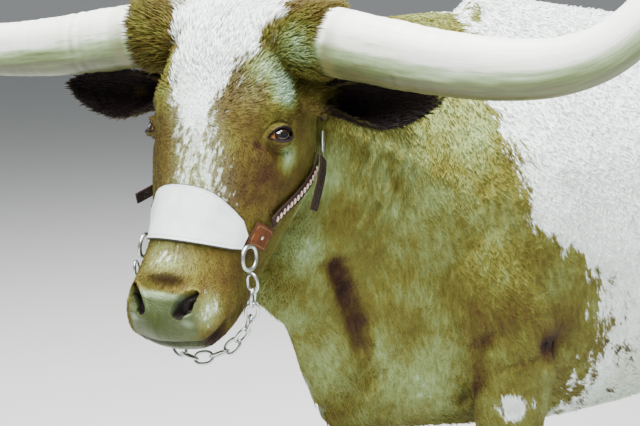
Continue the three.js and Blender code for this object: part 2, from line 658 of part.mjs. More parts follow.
const HIND_LEG = [
  { x: 112, y: 640, z: 1330, half: 80, rise: 150, drop: 150 },
  { x: 132, y: 622, z: 1220, half: 108, rise: 215, drop: 205 },
  { x: 148, y: 600, z: 1090, half: 118, rise: 222, drop: 232, square: 0.95 },
  { x: 158, y: 580, z: 980, half: 110, rise: 196, drop: 208, square: 0.95 },
  { x: 166, y: 578, z: STIFLE, half: 94, rise: 168, drop: 168 },
  { x: 170, y: 602, z: 815, half: 76, rise: 128, drop: 118 },
  { x: 168, y: 644, z: 720, half: 56, rise: 88, drop: 84 },
  { x: 166, y: 686, z: 635, half: 43, rise: 62, drop: 68 },
  { x: 165, y: 706, z: 590, half: 40, rise: 54, drop: 64 },
  { x: 165, y: 712, z: HOCK, half: 42, rise: 52, drop: 60 },
  { x: 165, y: 712, z: 490, half: 38, rise: 44, drop: 46 },
  { x: 165, y: 706, z: 410, half: 31, rise: 33, drop: 36 },
  { x: 165, y: 698, z: 300, half: 29, rise: 31, drop: 33 },
  { x: 165, y: 690, z: 210, half: 30, rise: 30, drop: 34 },
  { x: 165, y: 684, z: 165, half: 35, rise: 33, drop: 40 },
  { x: 165, y: 678, z: 128, half: 38, rise: 36, drop: 40 },
  { x: 165, y: 670, z: 96, half: 41, rise: 40, drop: 40 },
  { x: HIND_FOOT.x, y: HIND_FOOT.y - 6, z: CORONET - 6, half: 45, rise: 44, drop: 40 },
];

function leg(stations, sign, ringCount) {
  const mirrored = stations.map((station) => ({ ...station, x: sign * station.x }));
  const axes = { side: vec(1, 0, 0), up: vec(0, -1, 0) };
  const rings = loftRings(mirrored, () => axes, 14, ringCount);
  return solidOf(loft(rings));
}

// Two small dewclaws behind each fetlock.
function dewclaws(foot, sign) {
  return [-1, 1].map((inner) => {
    const claw = new THREE.CylinderGeometry(6, 12, 34, 10, 1);
    claw.rotateX(rad(-118));
    claw.translate(sign * foot.x + inner * 17, foot.y + 46, 128);
    return solidOf(claw);
  });
}

// One claw of a cloven hoof, flat below, sloped in front and rounded outside. Sizes are at sole and top.
const CLAW = { cleft: 3, toe: [62, 40], heel: [40, 34], width: [45, 40], point: 0.42, back: 10 };

function clawRing(foot, lean, share) {
  const [toe, heel, width] = [CLAW.toe, CLAW.heel, CLAW.width].map(([sole, top]) => mix(sole, top, share));
  return Array.from({ length: 12 }, (_, j) => {
    const angle = (j / 12) * 2 * Math.PI;
    const outward = (Math.cos(angle) + 1) / 2;
    const forward = Math.sin(angle);
    const narrow = forward > 0 ? 1 - CLAW.point * forward ** 3 : 1;
    const reach = (forward > 0 ? toe : heel) * forward * (0.9 + 0.1 * outward);
    return vec(foot.x + lean * (CLAW.cleft + width * outward * narrow),
      foot.y - CLAW.back - reach, mix(0, CORONET - GAP, share));
  });
}

function claw(foot, sign, outer) {
  const standing = { x: sign * foot.x, y: foot.y };
  const rings = [0, 0.5, 1].map((share) => clawRing(standing, sign * outer, share));
  return solidOf(ringSurface(rings, centreOf(rings[0]), centreOf(rings[2])));
}

// Tail: a dock that hangs from the tail head, and a switch of long flat locks.

const DOCK_LINE = [
  [0, 800, 1395], [0, 862, 1428], [0, 912, 1400], [0, 934, 1320], [0, 940, 1200],
  [0, 936, 1040], [0, 930, 900], [0, 928, 790],
];
const DOCK_RADIUS = 40;
const DOCK_TIP_RADIUS = 15;
const SWITCH_TOP = 838;
const SWITCH_END = 330;

function dockLine() {
  return new THREE.CatmullRomCurve3(DOCK_LINE.map(([x, y, z]) => vec(x, y, z)));
}

function dock() {
  return solidOf(tube(dockLine(), (share) => mix(DOCK_RADIUS, DOCK_TIP_RADIUS, share ** 0.6), 10, 13));
}

// A flat, tapered lock along a curve, four-sided, broad across and thin through.
function lock(points, wide, breadth, thickness) {
  const curve = new THREE.CatmullRomCurve3(points);
  const steps = 4;
  const rings = Array.from({ length: steps }, (_, i) => {
    const share = (i / (steps - 1)) * 0.97;
    const centre = curve.getPointAt(share);
    const tangent = curve.getTangentAt(share);
    const across = wide.clone().addScaledVector(tangent, -wide.dot(tangent)).normalize();
    const through = vec().crossVectors(tangent, across);
    const size = 0.55 + 0.45 * Math.sin(Math.PI * Math.min(1, share * 1.3 + 0.12));
    const end = share > 0.6 ? mix(1, 0.14, (share - 0.6) / 0.4) : 1;
    return [[1, 0], [0, 1], [-1, 0], [0, -1]].map(([a, b]) => centre.clone()
      .addScaledVector(across, a * (breadth / 2) * size * end)
      .addScaledVector(through, b * (thickness / 2) * size * end));
  });
  return solidOf(ringSurface(rings, curve.getPointAt(0), curve.getPointAt(1)));
}

const SWITCH_LOCKS = 13;

function tailSwitch() {
  const draw = sequence(11);
  const core = new THREE.CatmullRomCurve3([
    vec(0, 929, SWITCH_TOP - 4), vec(0, 928, 770), vec(2, 926, 690), vec(0, 930, 590), vec(-4, 934, 520)]);
  const pieces = [solidOf(tube(core, (share) => mix(20, 7, share), 10, 7))];
  for (let i = 0; i < SWITCH_LOCKS; i++) {
    const angle = i * 2.4;
    const out = vec(Math.cos(angle), Math.sin(angle), 0);
    const start = mix(SWITCH_TOP - 24, 600, (i / SWITCH_LOCKS) ** 1.1);
    const end = mix(SWITCH_END + 190, SWITCH_END, draw() ** 0.7);
    const swell = mix(22, 40, draw());
    const path = (share, offset) => vec(0, 929, mix(start, end, share)).addScaledVector(out, offset);
    const sway = vec(mix(-10, 10, draw()), mix(-8, 8, draw()), 0);
    const points = [path(0, 6), path(0.25, swell * 0.72), path(0.55, swell).addScaledVector(sway, 0.6),
      path(0.8, swell * 0.8).add(sway), path(1, swell * 0.3).addScaledVector(sway, 1.6)];
    const wide = vec(-out.y, out.x, 0);
    pieces.push(lock(points, wide, mix(26, 36, draw()), mix(8, 11, draw())));
  }
  return mainBody(fuse(pieces));
}

// Halter: straps that lie on the face, made on the same surface as the skull.

// A point on the head's surface moved out from it, in world axes.
function offFace(down, angle, out) {
  const share = shareDown(down);
  const step = 0.01;
  const point = facePoint(share, angle);
  const along = facePoint(share + step, angle).sub(facePoint(share - step, angle));
  const across = facePoint(share, angle + step).sub(facePoint(share, angle - step));
  const normal = vec().crossVectors(across, along).normalize();
  const fromCentre = vec(point.x, 0, point.z - faceSection(share).centre);
  if (normal.dot(fromCentre) < 0) normal.negate();
  return toWorld(point.addScaledVector(normal, out));
}

const offFaceNormal = (down, angle) => offFace(down, angle, 1).sub(offFace(down, angle, 0));

// A place at an angle on the left side, or at the same angle on the right.
const onSide = (sign, angle) => (sign > 0 ? angle : Math.PI - angle);

const STRAP = { lift: 0.9, clear: 4.5, thickness: 3.5, width: 22 };
const RING = { down: 396, angle: 0.22, lift: 12, radius: 18, wire: 3.4 };
const NOSE_PLATE = { middle: 356, tall: 88, endDown: 376, endTall: 24, endAngle: 0.32 };
const BUCKLE = { down: 177, angle: -0.38, long: 32, wide: 32, wire: 3, lift: 11 };
const TAB = { from: 340, to: 377, endAngle: -0.02 };

// A sheet on the face between two angles. The edges say how far down it runs at each share of its length.
function faceSheet(angles, upperEdge, lowerEdge, lift, thickness, columns, rows) {
  const face = (out) => Array.from({ length: columns }, (_, i) => {
    const share = i / (columns - 1);
    const angle = mix(angles[0], angles[1], share);
    return Array.from({ length: rows }, (_, j) => (
      offFace(mix(upperEdge(share), lowerEdge(share), j / (rows - 1)), angle, out)));
  });
  return solidOf(sheetSurface(face(lift + thickness), face(lift)));
}

// The plate over the nose is tallest in the middle, and its rounded ends stop short of the rings.
function nosePlate() {
  const bulge = (share) => Math.sin(Math.PI * share) ** 0.6;
  const centre = (share) => mix(NOSE_PLATE.endDown, NOSE_PLATE.middle, bulge(share));
  const half = (share) => mix(NOSE_PLATE.endTall, NOSE_PLATE.tall, bulge(share)) / 2;
  return faceSheet([Math.PI - NOSE_PLATE.endAngle, NOSE_PLATE.endAngle],
    (share) => centre(share) - half(share), (share) => centre(share) + half(share),
    STRAP.lift, STRAP.thickness, 17, 4);
}

// A leather tab runs on from each end of the plate to the cheek strap, over the ring.
function noseTab(sign) {
  const angles = [onSide(sign, NOSE_PLATE.endAngle - 0.02), onSide(sign, TAB.endAngle)];
  return faceSheet(angles, () => TAB.from, () => TAB.to, STRAP.lift, STRAP.thickness, 6, 3);
}

// A strap through a line of points, each with the direction that its face looks.
function freeStrap(line, facings, width, thickness, columns) {
  const curve = new THREE.CatmullRomCurve3(line);
  const facing = new THREE.CatmullRomCurve3(facings);
  const face = (out) => Array.from({ length: columns }, (_, i) => {
    const share = i / (columns - 1);
    const point = curve.getPoint(share);
    const tangent = curve.getTangent(share);
    const look = facing.getPoint(share);
    look.addScaledVector(tangent, -look.dot(tangent)).normalize();
    const across = vec().crossVectors(look, tangent).normalize();
    return [-1, 1].map((edge) => point.clone()
      .addScaledVector(across, (edge * width) / 2).addScaledVector(look, out));
  });
  return solidOf(sheetSurface(face(thickness / 2), face(-thickness / 2)));
}

const sideLook = (sign) => alongHead(sign, 0, 0.12).normalize();

// Cheek strap, from above the ring to the buckle behind the eye.
function cheekStrap(sign) {
  const lower = { down: TAB.from - 7, angle: TAB.endAngle + 0.12 };
  const upper = { down: BUCKLE.down + 23, angle: BUCKLE.angle + 0.04 };
  const places = [0, 0.2, 0.4, 0.6, 0.8, 1].map((share) => [
    mix(lower.down, upper.down, share), onSide(sign, mix(lower.angle, upper.angle, share))]);
  const line = places.map(([down, angle]) => offFace(down, angle, STRAP.clear));
  const facings = places.map(([down, angle]) => offFaceNormal(down, angle));
  return freeStrap(line, facings, STRAP.width, STRAP.thickness, 12);
}

// A wire frame round the strap, with the tongue across it.
function buckle(sign) {
  const out = offFaceNormal(BUCKLE.down, onSide(sign, BUCKLE.angle));
  const centre = offFace(BUCKLE.down, onSide(sign, BUCKLE.angle), BUCKLE.lift);
  const tall = HEAD.up.clone().addScaledVector(out, -HEAD.up.dot(out)).normalize();
  const wide = vec().crossVectors(tall, out);
  const corner = (a, b) => centre.clone()
    .addScaledVector(wide, (a * BUCKLE.wide) / 2).addScaledVector(tall, (b * BUCKLE.long) / 2);
  const steps = [[-1, -1], [0, -1], [1, -1], [1, 0], [1, 1], [0, 1], [-1, 1], [-1, 0]];
  const outline = new THREE.CatmullRomCurve3(steps.map(([a, b]) => corner(a, b)), true, 'catmullrom', 0.2);
  const frame = closedTube(outline, BUCKLE.wire, 5, 16);
  const raised = corner(0, 0).addScaledVector(out, 2);
  const tongue = new THREE.CatmullRomCurve3([corner(0, -1), raised, corner(0, 1)]);
  return fuse([solidOf(frame), solidOf(tube(tongue, () => BUCKLE.wire * 0.8, 5, 3))]);
}

// Crown strap, over the nape behind the ears from one buckle to the other. It lies in one plane on the flesh.
const CROWN = { up: -130, front: -178, rise: 0.88, recede: -0.47, from: -3, to: 183, lift: 12, reach: 400 };

function crownStrap(flesh) {
  const skin = new THREE.Mesh(geometryOf(flesh), new THREE.MeshBasicMaterial());
  const middle = onHead(0, CROWN.up, CROWN.front);
  const over = alongHead(0, CROWN.rise, CROWN.recede).normalize();
  const columns = 25;
  const looks = Array.from({ length: columns }, (_, i) => {
    const angle = rad(mix(CROWN.from, CROWN.to, i / (columns - 1)));
    return vec().addScaledVector(HEAD.left, Math.cos(angle)).addScaledVector(over, Math.sin(angle));
  });
  const hits = looks.map((look) => {
    const start = middle.clone().addScaledVector(look, CROWN.reach);
    return new THREE.Raycaster(start, look.clone().negate()).intersectObject(skin)[0];
  });
  const normals = hits.map((hit, i) => {
    const near = hits.slice(Math.max(0, i - 2), i + 3);
    return near.reduce((sum, { face }) => sum.add(face.normal), vec()).normalize();
  });
  const line = hits.map((hit, i) => hit.point.clone().addScaledVector(normals[i], CROWN.lift));
  return freeStrap(line, normals, STRAP.width, STRAP.thickness, 25);
}

// The loose end of the strap hangs below the left buckle, and the one on the right stands out.
const LOOSE_END = {
  left: [[134, -200, -178], [140, -220, -172], [144, -250, -164], [140, -292, -168]],
  right: [[-128, -236, -192], [-140, -258, -178], [-154, -286, -154], [-168, -310, -132]],
};

function looseEnd(sign) {
  const places = sign > 0 ? LOOSE_END.left : LOOSE_END.right;
  const line = places.map(([x, up, front]) => onHead(x, up, front));
  return freeStrap(line, line.map(() => sideLook(sign)), STRAP.width - 2, STRAP.thickness, 9);
}

function ringCentre(sign) {
  return offFace(RING.down, onSide(sign, RING.angle), RING.lift);
}

function halterRing(sign) {
  const centre = ringCentre(sign);
  const ring = new THREE.TorusGeometry(RING.radius, RING.wire, 5, 14);
  ring.applyQuaternion(new THREE.Quaternion().setFromUnitVectors(vec(0, 0, 1), sideLook(sign)));
  ring.translate(centre.x, centre.y, centre.z);
  return solidOf(ring);
}

// Chain under the chin, from ring to ring. Each link is turned a quarter to the one before and joined to it.
const CHAIN = { pitch: 25.5, radius: 11, wire: 2.6, stretch: 1.35 };
const CHAIN_LINE = [
  [104, -424, -74], [103, -446, -90], [96, -474, -114], [78, -502, -140], [46, -536, -150], [0, -554, -142],
];

function chinChain() {
  const right = CHAIN_LINE.slice(0, -1).reverse().map(([x, up, front]) => [-x, up, front]);
  const curve = headCurve([...CHAIN_LINE, ...right]);
  const count = Math.round(curve.getLength() / CHAIN.pitch);
  const links = Array.from({ length: count }, (_, i) => {
    const share = (i + 0.5) / count;
    const centre = curve.getPointAt(share);
    const link = new THREE.TorusGeometry(CHAIN.radius, CHAIN.wire, 3, 7);
    link.scale(CHAIN.stretch, 1, 1);
    link.rotateX((i % 2) * (Math.PI / 2) + 0.4);
    link.applyQuaternion(new THREE.Quaternion().setFromUnitVectors(vec(1, 0, 0), curve.getTangentAt(share)));
    link.translate(centre.x, centre.y, centre.z);
    return solidOf(link);
  });
  return mainBody(fuse(links));
}

// Assembly: the flesh is fused whole and carved, then parted at thin planes.

function wholeFlesh() {
  const limbs = SIDES.flatMap(({ sign }) => [
    leg(FRONT_LEG, sign, 18), leg(HIND_LEG, sign, 19),
    ...dewclaws(FRONT_FOOT, sign), ...dewclaws(HIND_FOOT, sign),
  ]);
  const headPieces = SIDES.flatMap(({ sign }) => [boss(sign), earRoot(sign), lids(sign)]);
  const solid = fuse([trunk(), neck(), skull(), dock(), ...limbs, ...headPieces]);
  const cuts = SIDES.flatMap(({ sign }) => [...nostrilCuts(sign), eyeball(sign, EYE_RADIUS + GAP)]);
  const carved = [...cuts, mouthGroove()].reduce((whole, cut) => whole.subtract(cut), solid);
  return carved.simplify(SMALLEST_DETAIL);
}

// The cuts behind the jaw and the poll, before the shoulders, at the tail head and at the rear flank.
const HEAD_PLANE = {
  point: onHead(0, -110, -185),
  normal: alongHead(0, -0.6, 0.8),
};
const NECK_PLANE = { point: vec(0, -706, 1220), normal: vec(0, -0.94, 0.34) };
const TAIL_PLANE = { point: vec(0, 884, 0), normal: vec(0, 1, 0) };
const FLANK_PLANE = { point: vec(0, 420, 800), normal: vec(0, 0.537, -0.844) };
const FLANK_FRONT = 380;
const FOREARM_TOP = 625;
const FOREARM_ZONE = { front: -900, back: -330 };
const SIDE_REACH = 400;

const COLOURS = { white: 0xd9cdb8, tan: 0xa9774a, brown: 0x7d5233, horn: 0xd8ccaa, hoof: 0x5a4a3c,
  dark: 0x2a1c14, leather: 0x4a3326, tab: 0x8a4a30, plate: 0xe6e1d6, steel: 0x8d8a84 };

function finish(color, roughness, metalness = 0) {
  return new THREE.MeshStandardMaterial({ color, roughness, metalness });
}

const steer = new THREE.Group();

function place(name, solid, material) {
  const mesh = new THREE.Mesh(geometryOf(solid), material);
  mesh.name = name;
  steer.add(mesh);
}

const hide = finish(COLOURS.tan, 0.9);
const paleHide = finish(COLOURS.white, 0.9);
const carved = keep(wholeFlesh(), level(CORONET));
const behindHead = keep(carved, flip(HEAD_PLANE));
const behindNeck = keep(behindHead, flip(NECK_PLANE));
const beforeTail = keep(behindNeck, flip(TAIL_PLANE));

place('head', mainBody(keep(carved, HEAD_PLANE)), finish(COLOURS.brown, 0.85));
place('neck', mainBody(keep(behindHead, NECK_PLANE)), hide);
place('tail_dock', mainBody(keep(keep(behindNeck, TAIL_PLANE), level(SWITCH_TOP))), hide);

// The legs' zones, and the same grown by a gap for what is cut from the torso.
const foreZone = (gap) => boxSolid(
  vec(-SIDE_REACH, FOREARM_ZONE.front, -gap), vec(SIDE_REACH, FOREARM_ZONE.back, FOREARM_TOP + gap));
const hindZone = (gap) => {
  const point = FLANK_PLANE.point.clone().addScaledVector(FLANK_PLANE.normal, -gap);
  const rear = TAIL_PLANE.point.y - GAP + gap;
  return sideOf(point, FLANK_PLANE.normal)
    .intersect(boxSolid(vec(-SIDE_REACH, FLANK_FRONT - gap, -gap), vec(SIDE_REACH, rear, HIP)));
};
place('torso', mainBody(beforeTail.subtract(foreZone(GAP)).subtract(hindZone(GAP))), paleHide);

SIDES.forEach(({ name, sign }) => {
  const half = { point: vec(), normal: vec(sign, 0, 0) };
  const fore = keep(beforeTail.intersect(foreZone(0)), half);
  const hind = keep(beforeTail.intersect(hindZone(0)), half);
  place(`front_leg_${name}_upper`, mainBody(keep(fore, level(KNEE))), paleHide);
  place(`front_leg_${name}_lower`, mainBody(keep(fore, flip(level(KNEE)))), paleHide);
  place(`hind_leg_${name}_upper`, mainBody(keep(hind, level(HOCK))), paleHide);
  place(`hind_leg_${name}_lower`, mainBody(keep(hind, flip(level(HOCK)))), paleHide);
  [{ row: 'front', foot: FRONT_FOOT }, { row: 'hind', foot: HIND_FOOT }].forEach(({ row, foot }) => {
    place(`hoof_${row}_${name}_outer`, claw(foot, sign, 1), finish(COLOURS.hoof, 0.5));
    place(`hoof_${row}_${name}_inner`, claw(foot, sign, -1), finish(COLOURS.hoof, 0.5));
  });
  place(`ear_${name}`, ear(sign), finish(COLOURS.brown, 0.9));
  place(`eye_${name}`, eyeball(sign, EYE_RADIUS), finish(COLOURS.dark, 0.1));
  place(`horn_${name}`, horn(sign), finish(COLOURS.horn, 0.4));
  place(`noseband_tab_${name}`, noseTab(sign), finish(COLOURS.tab, 0.6));
  place(`halter_ring_${name}`, halterRing(sign), finish(COLOURS.steel, 0.35, 1));
  place(`cheek_strap_${name}`, cheekStrap(sign), finish(COLOURS.leather, 0.6));
  place(`buckle_${name}`, buckle(sign), finish(COLOURS.steel, 0.35, 1));
  place(`strap_end_${name}`, looseEnd(sign), finish(COLOURS.leather, 0.6));
});
place('tail_switch', tailSwitch(), finish(COLOURS.brown, 0.95));
place('noseband', nosePlate(), finish(COLOURS.plate, 0.5));
place('crown_strap', crownStrap(carved), finish(COLOURS.leather, 0.6));
place('chin_chain', chinChain(), finish(COLOURS.steel, 0.35, 1));

// The origin moves to the floor under the middle of the bounding box.
const bounds = new THREE.Box3().setFromObject(steer);
const middle = bounds.getCenter(vec());
steer.position.set(-middle.x, -middle.y, -bounds.min.z);

export default steer;
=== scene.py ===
# A Texas longhorn steer in a show halter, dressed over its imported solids.
# Lengths are the solids' millimetres until place() or onHead() turns them into Blender's metres.
import math
import bpy
import bmesh
import numpy as np
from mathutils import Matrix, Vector
from mathutils.bvhtree import BVHTree
from mathutils.kdtree import KDTree


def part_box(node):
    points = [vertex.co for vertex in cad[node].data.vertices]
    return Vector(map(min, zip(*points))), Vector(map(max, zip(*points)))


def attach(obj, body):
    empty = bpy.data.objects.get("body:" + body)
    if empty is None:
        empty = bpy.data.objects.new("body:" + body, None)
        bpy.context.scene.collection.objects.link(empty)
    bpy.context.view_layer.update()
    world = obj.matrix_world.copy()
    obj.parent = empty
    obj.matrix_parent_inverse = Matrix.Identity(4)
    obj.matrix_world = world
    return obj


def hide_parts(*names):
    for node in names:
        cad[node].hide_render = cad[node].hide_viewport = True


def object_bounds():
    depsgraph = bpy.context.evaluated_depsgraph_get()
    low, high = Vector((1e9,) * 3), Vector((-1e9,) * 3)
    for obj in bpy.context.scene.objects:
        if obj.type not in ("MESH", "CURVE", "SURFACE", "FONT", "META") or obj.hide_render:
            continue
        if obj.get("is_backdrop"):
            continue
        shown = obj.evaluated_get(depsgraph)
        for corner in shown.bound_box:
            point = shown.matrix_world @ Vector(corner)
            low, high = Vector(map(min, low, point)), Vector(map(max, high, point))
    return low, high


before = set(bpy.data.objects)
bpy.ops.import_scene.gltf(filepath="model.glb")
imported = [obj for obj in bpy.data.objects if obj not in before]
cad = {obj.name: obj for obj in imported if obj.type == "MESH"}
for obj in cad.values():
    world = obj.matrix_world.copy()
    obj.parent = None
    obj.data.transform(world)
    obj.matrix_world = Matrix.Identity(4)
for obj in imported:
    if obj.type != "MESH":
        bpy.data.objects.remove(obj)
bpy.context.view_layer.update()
scene = bpy.context.scene
sides = {"left": 1, "right": -1}


def unit(v):
    v = np.asarray(v, float)
    return v / np.maximum(np.linalg.norm(v, axis=-1, keepdims=True), 1e-9)


def spin(v, axis, degrees):  # v turned about an axis
    v, axis, angle = np.asarray(v, float), unit(axis), math.radians(degrees)
    along = axis * (v @ axis)
    return along + (v - along) * math.cos(angle) + np.cross(axis, v) * math.sin(angle)


def ease(value, low, high):  # 0 below low, 1 above high
    share = np.clip((np.asarray(value, float) - low) / (high - low), 0, 1)
    return share * share * (3 - 2 * share)


def near(points, centre, reach):  # 1 at the centre, 0 beyond the reach
    return 1 - ease(np.linalg.norm((points - np.asarray(centre)) / np.asarray(reach, float), axis=-1), 0, 1)


# Where the solids stand: the middle of the front feet, and the cut behind which the tail is its own node.
tailCut = 884.15
tailFrom = 884  # points of the skin behind this are the tail's or the buttocks'
shift = np.array([
    500 * (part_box("hoof_front_left_outer")[0].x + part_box("hoof_front_right_outer")[1].x),
    1000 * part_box("tail_dock")[0].y - tailCut, 0])


def place(points):
    return (np.asarray(points, float) + shift) / 1000


# The head's own axes: to its left, up towards the poll, and out of its front.
headPose = {"poll": (128, -1168, 1505), "turn": 33.9, "tilt": 24.9, "roll": 1.1}
headLeft = spin((1, 0, 0), (0, 0, 1), headPose["turn"])
headFront = spin(spin((0, -1, 0), (0, 0, 1), headPose["turn"]), headLeft, -headPose["tilt"])
headUp = spin(np.cross(headFront, headLeft), headFront, -headPose["roll"])
headLeft = spin(headLeft, headFront, -headPose["roll"])
headAxes = np.stack([headLeft, headUp, headFront])


def onHead(points):
    return place(np.asarray(points, float) @ headAxes + headPose["poll"])


def inHead(points):
    return (np.asarray(points) * 1000 - shift - headPose["poll"]) @ headAxes.T


def inBody(points):
    return np.asarray(points) * 1000 - shift


def meshOf(name, points, faces):  # faces all with the same number of corners
    points, faces = np.asarray(points, np.float32), np.asarray(faces, np.int32)
    mesh = bpy.data.meshes.new(name)
    mesh.vertices.add(len(points))
    mesh.vertices.foreach_set("co", points.ravel())
    mesh.loops.add(faces.size)
    mesh.loops.foreach_set("vertex_index", faces.ravel())
    mesh.polygons.add(len(faces))
    mesh.polygons.foreach_set("loop_start", np.arange(0, faces.size, faces.shape[1], dtype=np.int32))
    mesh.update(calc_edges=True)
    mesh.shade_smooth()
    return mesh


def pieceOf(name, mesh):
    piece = bpy.data.objects.new(name, mesh)
    scene.collection.objects.link(piece)
    return piece


def pointsOf(mesh):
    flat = np.empty(len(mesh.vertices) * 3, np.float32)
    mesh.vertices.foreach_get("co", flat)
    return flat.reshape(-1, 3).astype(float)


def setPoints(mesh, points):
    mesh.vertices.foreach_set("co", np.asarray(points, np.float32).ravel())
    mesh.update()


def normalsOf(mesh):
    flat = np.empty(len(mesh.vertices) * 3, np.float32)
    mesh.vertex_normals.foreach_get("vector", flat)
    return flat.reshape(-1, 3).astype(float)


def cornersOf(mesh):  # the three corners of each triangle
    flat = np.empty(len(mesh.polygons) * 3, np.int32)
    mesh.polygons.foreach_get("vertices", flat)
    return flat.reshape(-1, 3)


def edgesOf(mesh):  # the two ends of each edge
    flat = np.empty(len(mesh.edges) * 2, np.int32)
    mesh.edges.foreach_get("vertices", flat)
    return flat.reshape(-1, 2).T


def areasOf(points, corners):
    a, b, c = points[corners].transpose(1, 0, 2)
    return np.linalg.norm(np.cross(b - a, c - a), axis=1) / 2


def settle(piece):  # its modifiers become its mesh
    graph = bpy.context.evaluated_depsgraph_get()
    mesh = bpy.data.meshes.new_from_object(piece.evaluated_get(graph), depsgraph=graph)
    piece.modifiers.clear()
    old, piece.data = piece.data, mesh
    bpy.data.meshes.remove(old)
    return mesh


def modify(piece, kind, **settings):
    modifier = piece.modifiers.new(kind.title(), kind)
    for key, value in settings.items():
        setattr(modifier, key, value)
    return settle(piece)


def relax(mesh, steps, weight=1):  # each point goes a share of the way to its neighbours' mean, step by step
    a, b = edgesOf(mesh)
    points, total = pointsOf(mesh), len(mesh.vertices)
    count = np.maximum(np.bincount(a, minlength=total) + np.bincount(b, minlength=total), 1)[:, None]
    weight = np.broadcast_to(weight, total)[:, None]
    for step in steps:
        mean = np.stack([np.bincount(a, points[b, k], total) + np.bincount(b, points[a, k], total)
                         for k in range(3)], 1) / count
        points += step * weight * (mean - points)
    setPoints(mesh, points)


def soften(mesh, rounds, weight=1):  # smooths without shrinking
    relax(mesh, [0.5, -0.53] * rounds, weight)


def setField(mesh, name, values):
    values = np.asarray(values, np.float32)
    kind = "FLOAT" if values.ndim == 1 else "FLOAT_VECTOR"
    field = mesh.attributes.get(name) or mesh.attributes.new(name, kind, "POINT")
    field.data.foreach_set("value" if values.ndim == 1 else "vector", values.ravel())


class Wire:  # a socket that takes part in Python sums
    def __init__(self, nodes, socket):
        self.nodes, self.socket = nodes, socket

    def sum(self, operation, *others):
        return self.nodes.node("ShaderNodeMath", {"operation": operation}, *others)

    def twin(self, name):  # another output of the same node
        return Wire(self.nodes, self.socket.node.outputs[name])

    def __add__(self, other): return self.sum("ADD", self, other)
    def __sub__(self, other): return self.sum("SUBTRACT", self, other)
    def __mul__(self, other): return self.sum("MULTIPLY", self, other)
    def __truediv__(self, other): return self.sum("DIVIDE", self, other)
    def __rsub__(self, other): return self.sum("SUBTRACT", other, self)
    def __pow__(self, other): return self.sum("POWER", self, other)
    def fraction(self): return self.sum("FRACT", self)
    def absolute(self): return self.sum("ABSOLUTE", self)
    __radd__, __rmul__ = __add__, __mul__


class Nodes:  # a node tree and the one way nodes are added to it
    def __init__(self, tree):
        self.tree = tree

    def node(self, kind, settings, *values, out=0, **named):
        node = self.tree.nodes.new(kind)
        for key, value in settings.items():
            if key == "stops":
                ramp = node.color_ramp
                while len(ramp.elements) < len(value):
                    ramp.elements.new(1)
                for element, (at, colour) in zip(ramp.elements, value):
                    element.position, element.color = at, (*colour, 1)
            else:
                setattr(node, key, value)
        inputs = [socket for socket in node.inputs if socket.enabled]
        pairs = list(zip(inputs, values))
        for key, value in named.items():
            pairs.append((next(s for s in inputs if s.name.replace(" ", "") == key), value))
        for socket, value in pairs:
            if isinstance(value, Wire):
                self.tree.links.new(value.socket, socket)
            elif value is not None:
                socket.default_value = (*value, 1) if socket.type == "RGBA" and len(value) == 3 else value
        outputs = [socket for socket in node.outputs if socket.enabled and out in (0, socket.name)]
        return Wire(self, outputs[0]) if outputs else None

    def vector(self, operation, *values):
        return self.node("ShaderNodeVectorMath", {"operation": operation}, *values)


class Finish(Nodes):  # one material
    def __init__(self, name):
        self.material = bpy.data.materials.new(name)
        self.material.use_nodes = True
        super().__init__(self.material.node_tree)
        self.tree.nodes.clear()

    def here(self):
        return self.node("ShaderNodeTexCoord", {}, out="Object")

    def field(self, name, out="Fac"):
        return self.node("ShaderNodeAttribute", {"attribute_name": name}, out=out)

    def scaled(self, vector, scale):
        return self.node("ShaderNodeMapping", {}, vector, Scale=scale)

    def noise(self, vector, scale, detail=3, rough=0.55):
        return self.node("ShaderNodeTexNoise", {}, Vector=vector, Scale=scale, Detail=detail, Roughness=rough)

    def ramp(self, value, low, high):
        return self.node("ShaderNodeMapRange", {"interpolation_type": "SMOOTHSTEP"}, value, low, high, 0.0, 1.0)

    def blend(self, share, a, b):
        return self.node("ShaderNodeMix", {"data_type": "RGBA"}, share, a, b)

    def bump(self, height, depth, strength):
        return self.node("ShaderNodeBump", {}, Strength=strength, Distance=depth, Height=height)

    def surface(self, **sockets):
        shader = self.node("ShaderNodeBsdfPrincipled", {}, **sockets)
        self.node("ShaderNodeOutputMaterial", {}, shader)
        return self.material


# Camera, floor and light.
view = {"from": (1762.2, -2017.2, 1481.9), "azimuth": 58.04, "down": 10.0, "lens": 64.69}
azimuth, down = math.radians(view["azimuth"]), math.radians(view["down"])
look = Vector((-math.sin(azimuth) * math.cos(down), math.cos(azimuth) * math.cos(down), -math.sin(down)))
camera = bpy.data.objects.new("camera", bpy.data.cameras.new("camera"))
camera.location = place(view["from"])
camera.rotation_euler = look.to_track_quat("-Z", "Y").to_euler()
camera.data.lens, camera.data.sensor_width = view["lens"], 36
camera.data.clip_end = 200
scene.collection.objects.link(camera)
scene.camera = camera

studio = {"floor": 45, "pale": (0.70, 0.71, 0.69), "shade": 0.94, "sky": (0.93, 0.97, 1.0, 1), "skyPower": 0.27}
floor = pieceOf("floor", meshOf("floor", [(x * studio["floor"], y * studio["floor"], 0)
                                          for x, y in ((-1, -1), (1, -1), (1, 1), (-1, 1))], [(0, 1, 2, 3)]))
ground = Finish("paleFloor")
grain = ground.noise(ground.here(), 3.0)
floor.data.materials.append(ground.surface(
    BaseColor=ground.blend(grain, studio["pale"], tuple(c * studio["shade"] for c in studio["pale"])), Roughness=0.85))
floor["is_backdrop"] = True

scene.world = bpy.data.worlds.new("studio")
scene.world.use_nodes = True
sky = scene.world.node_tree.nodes["Background"]
sky.inputs[0].default_value, sky.inputs[1].default_value = studio["sky"], studio["skyPower"]


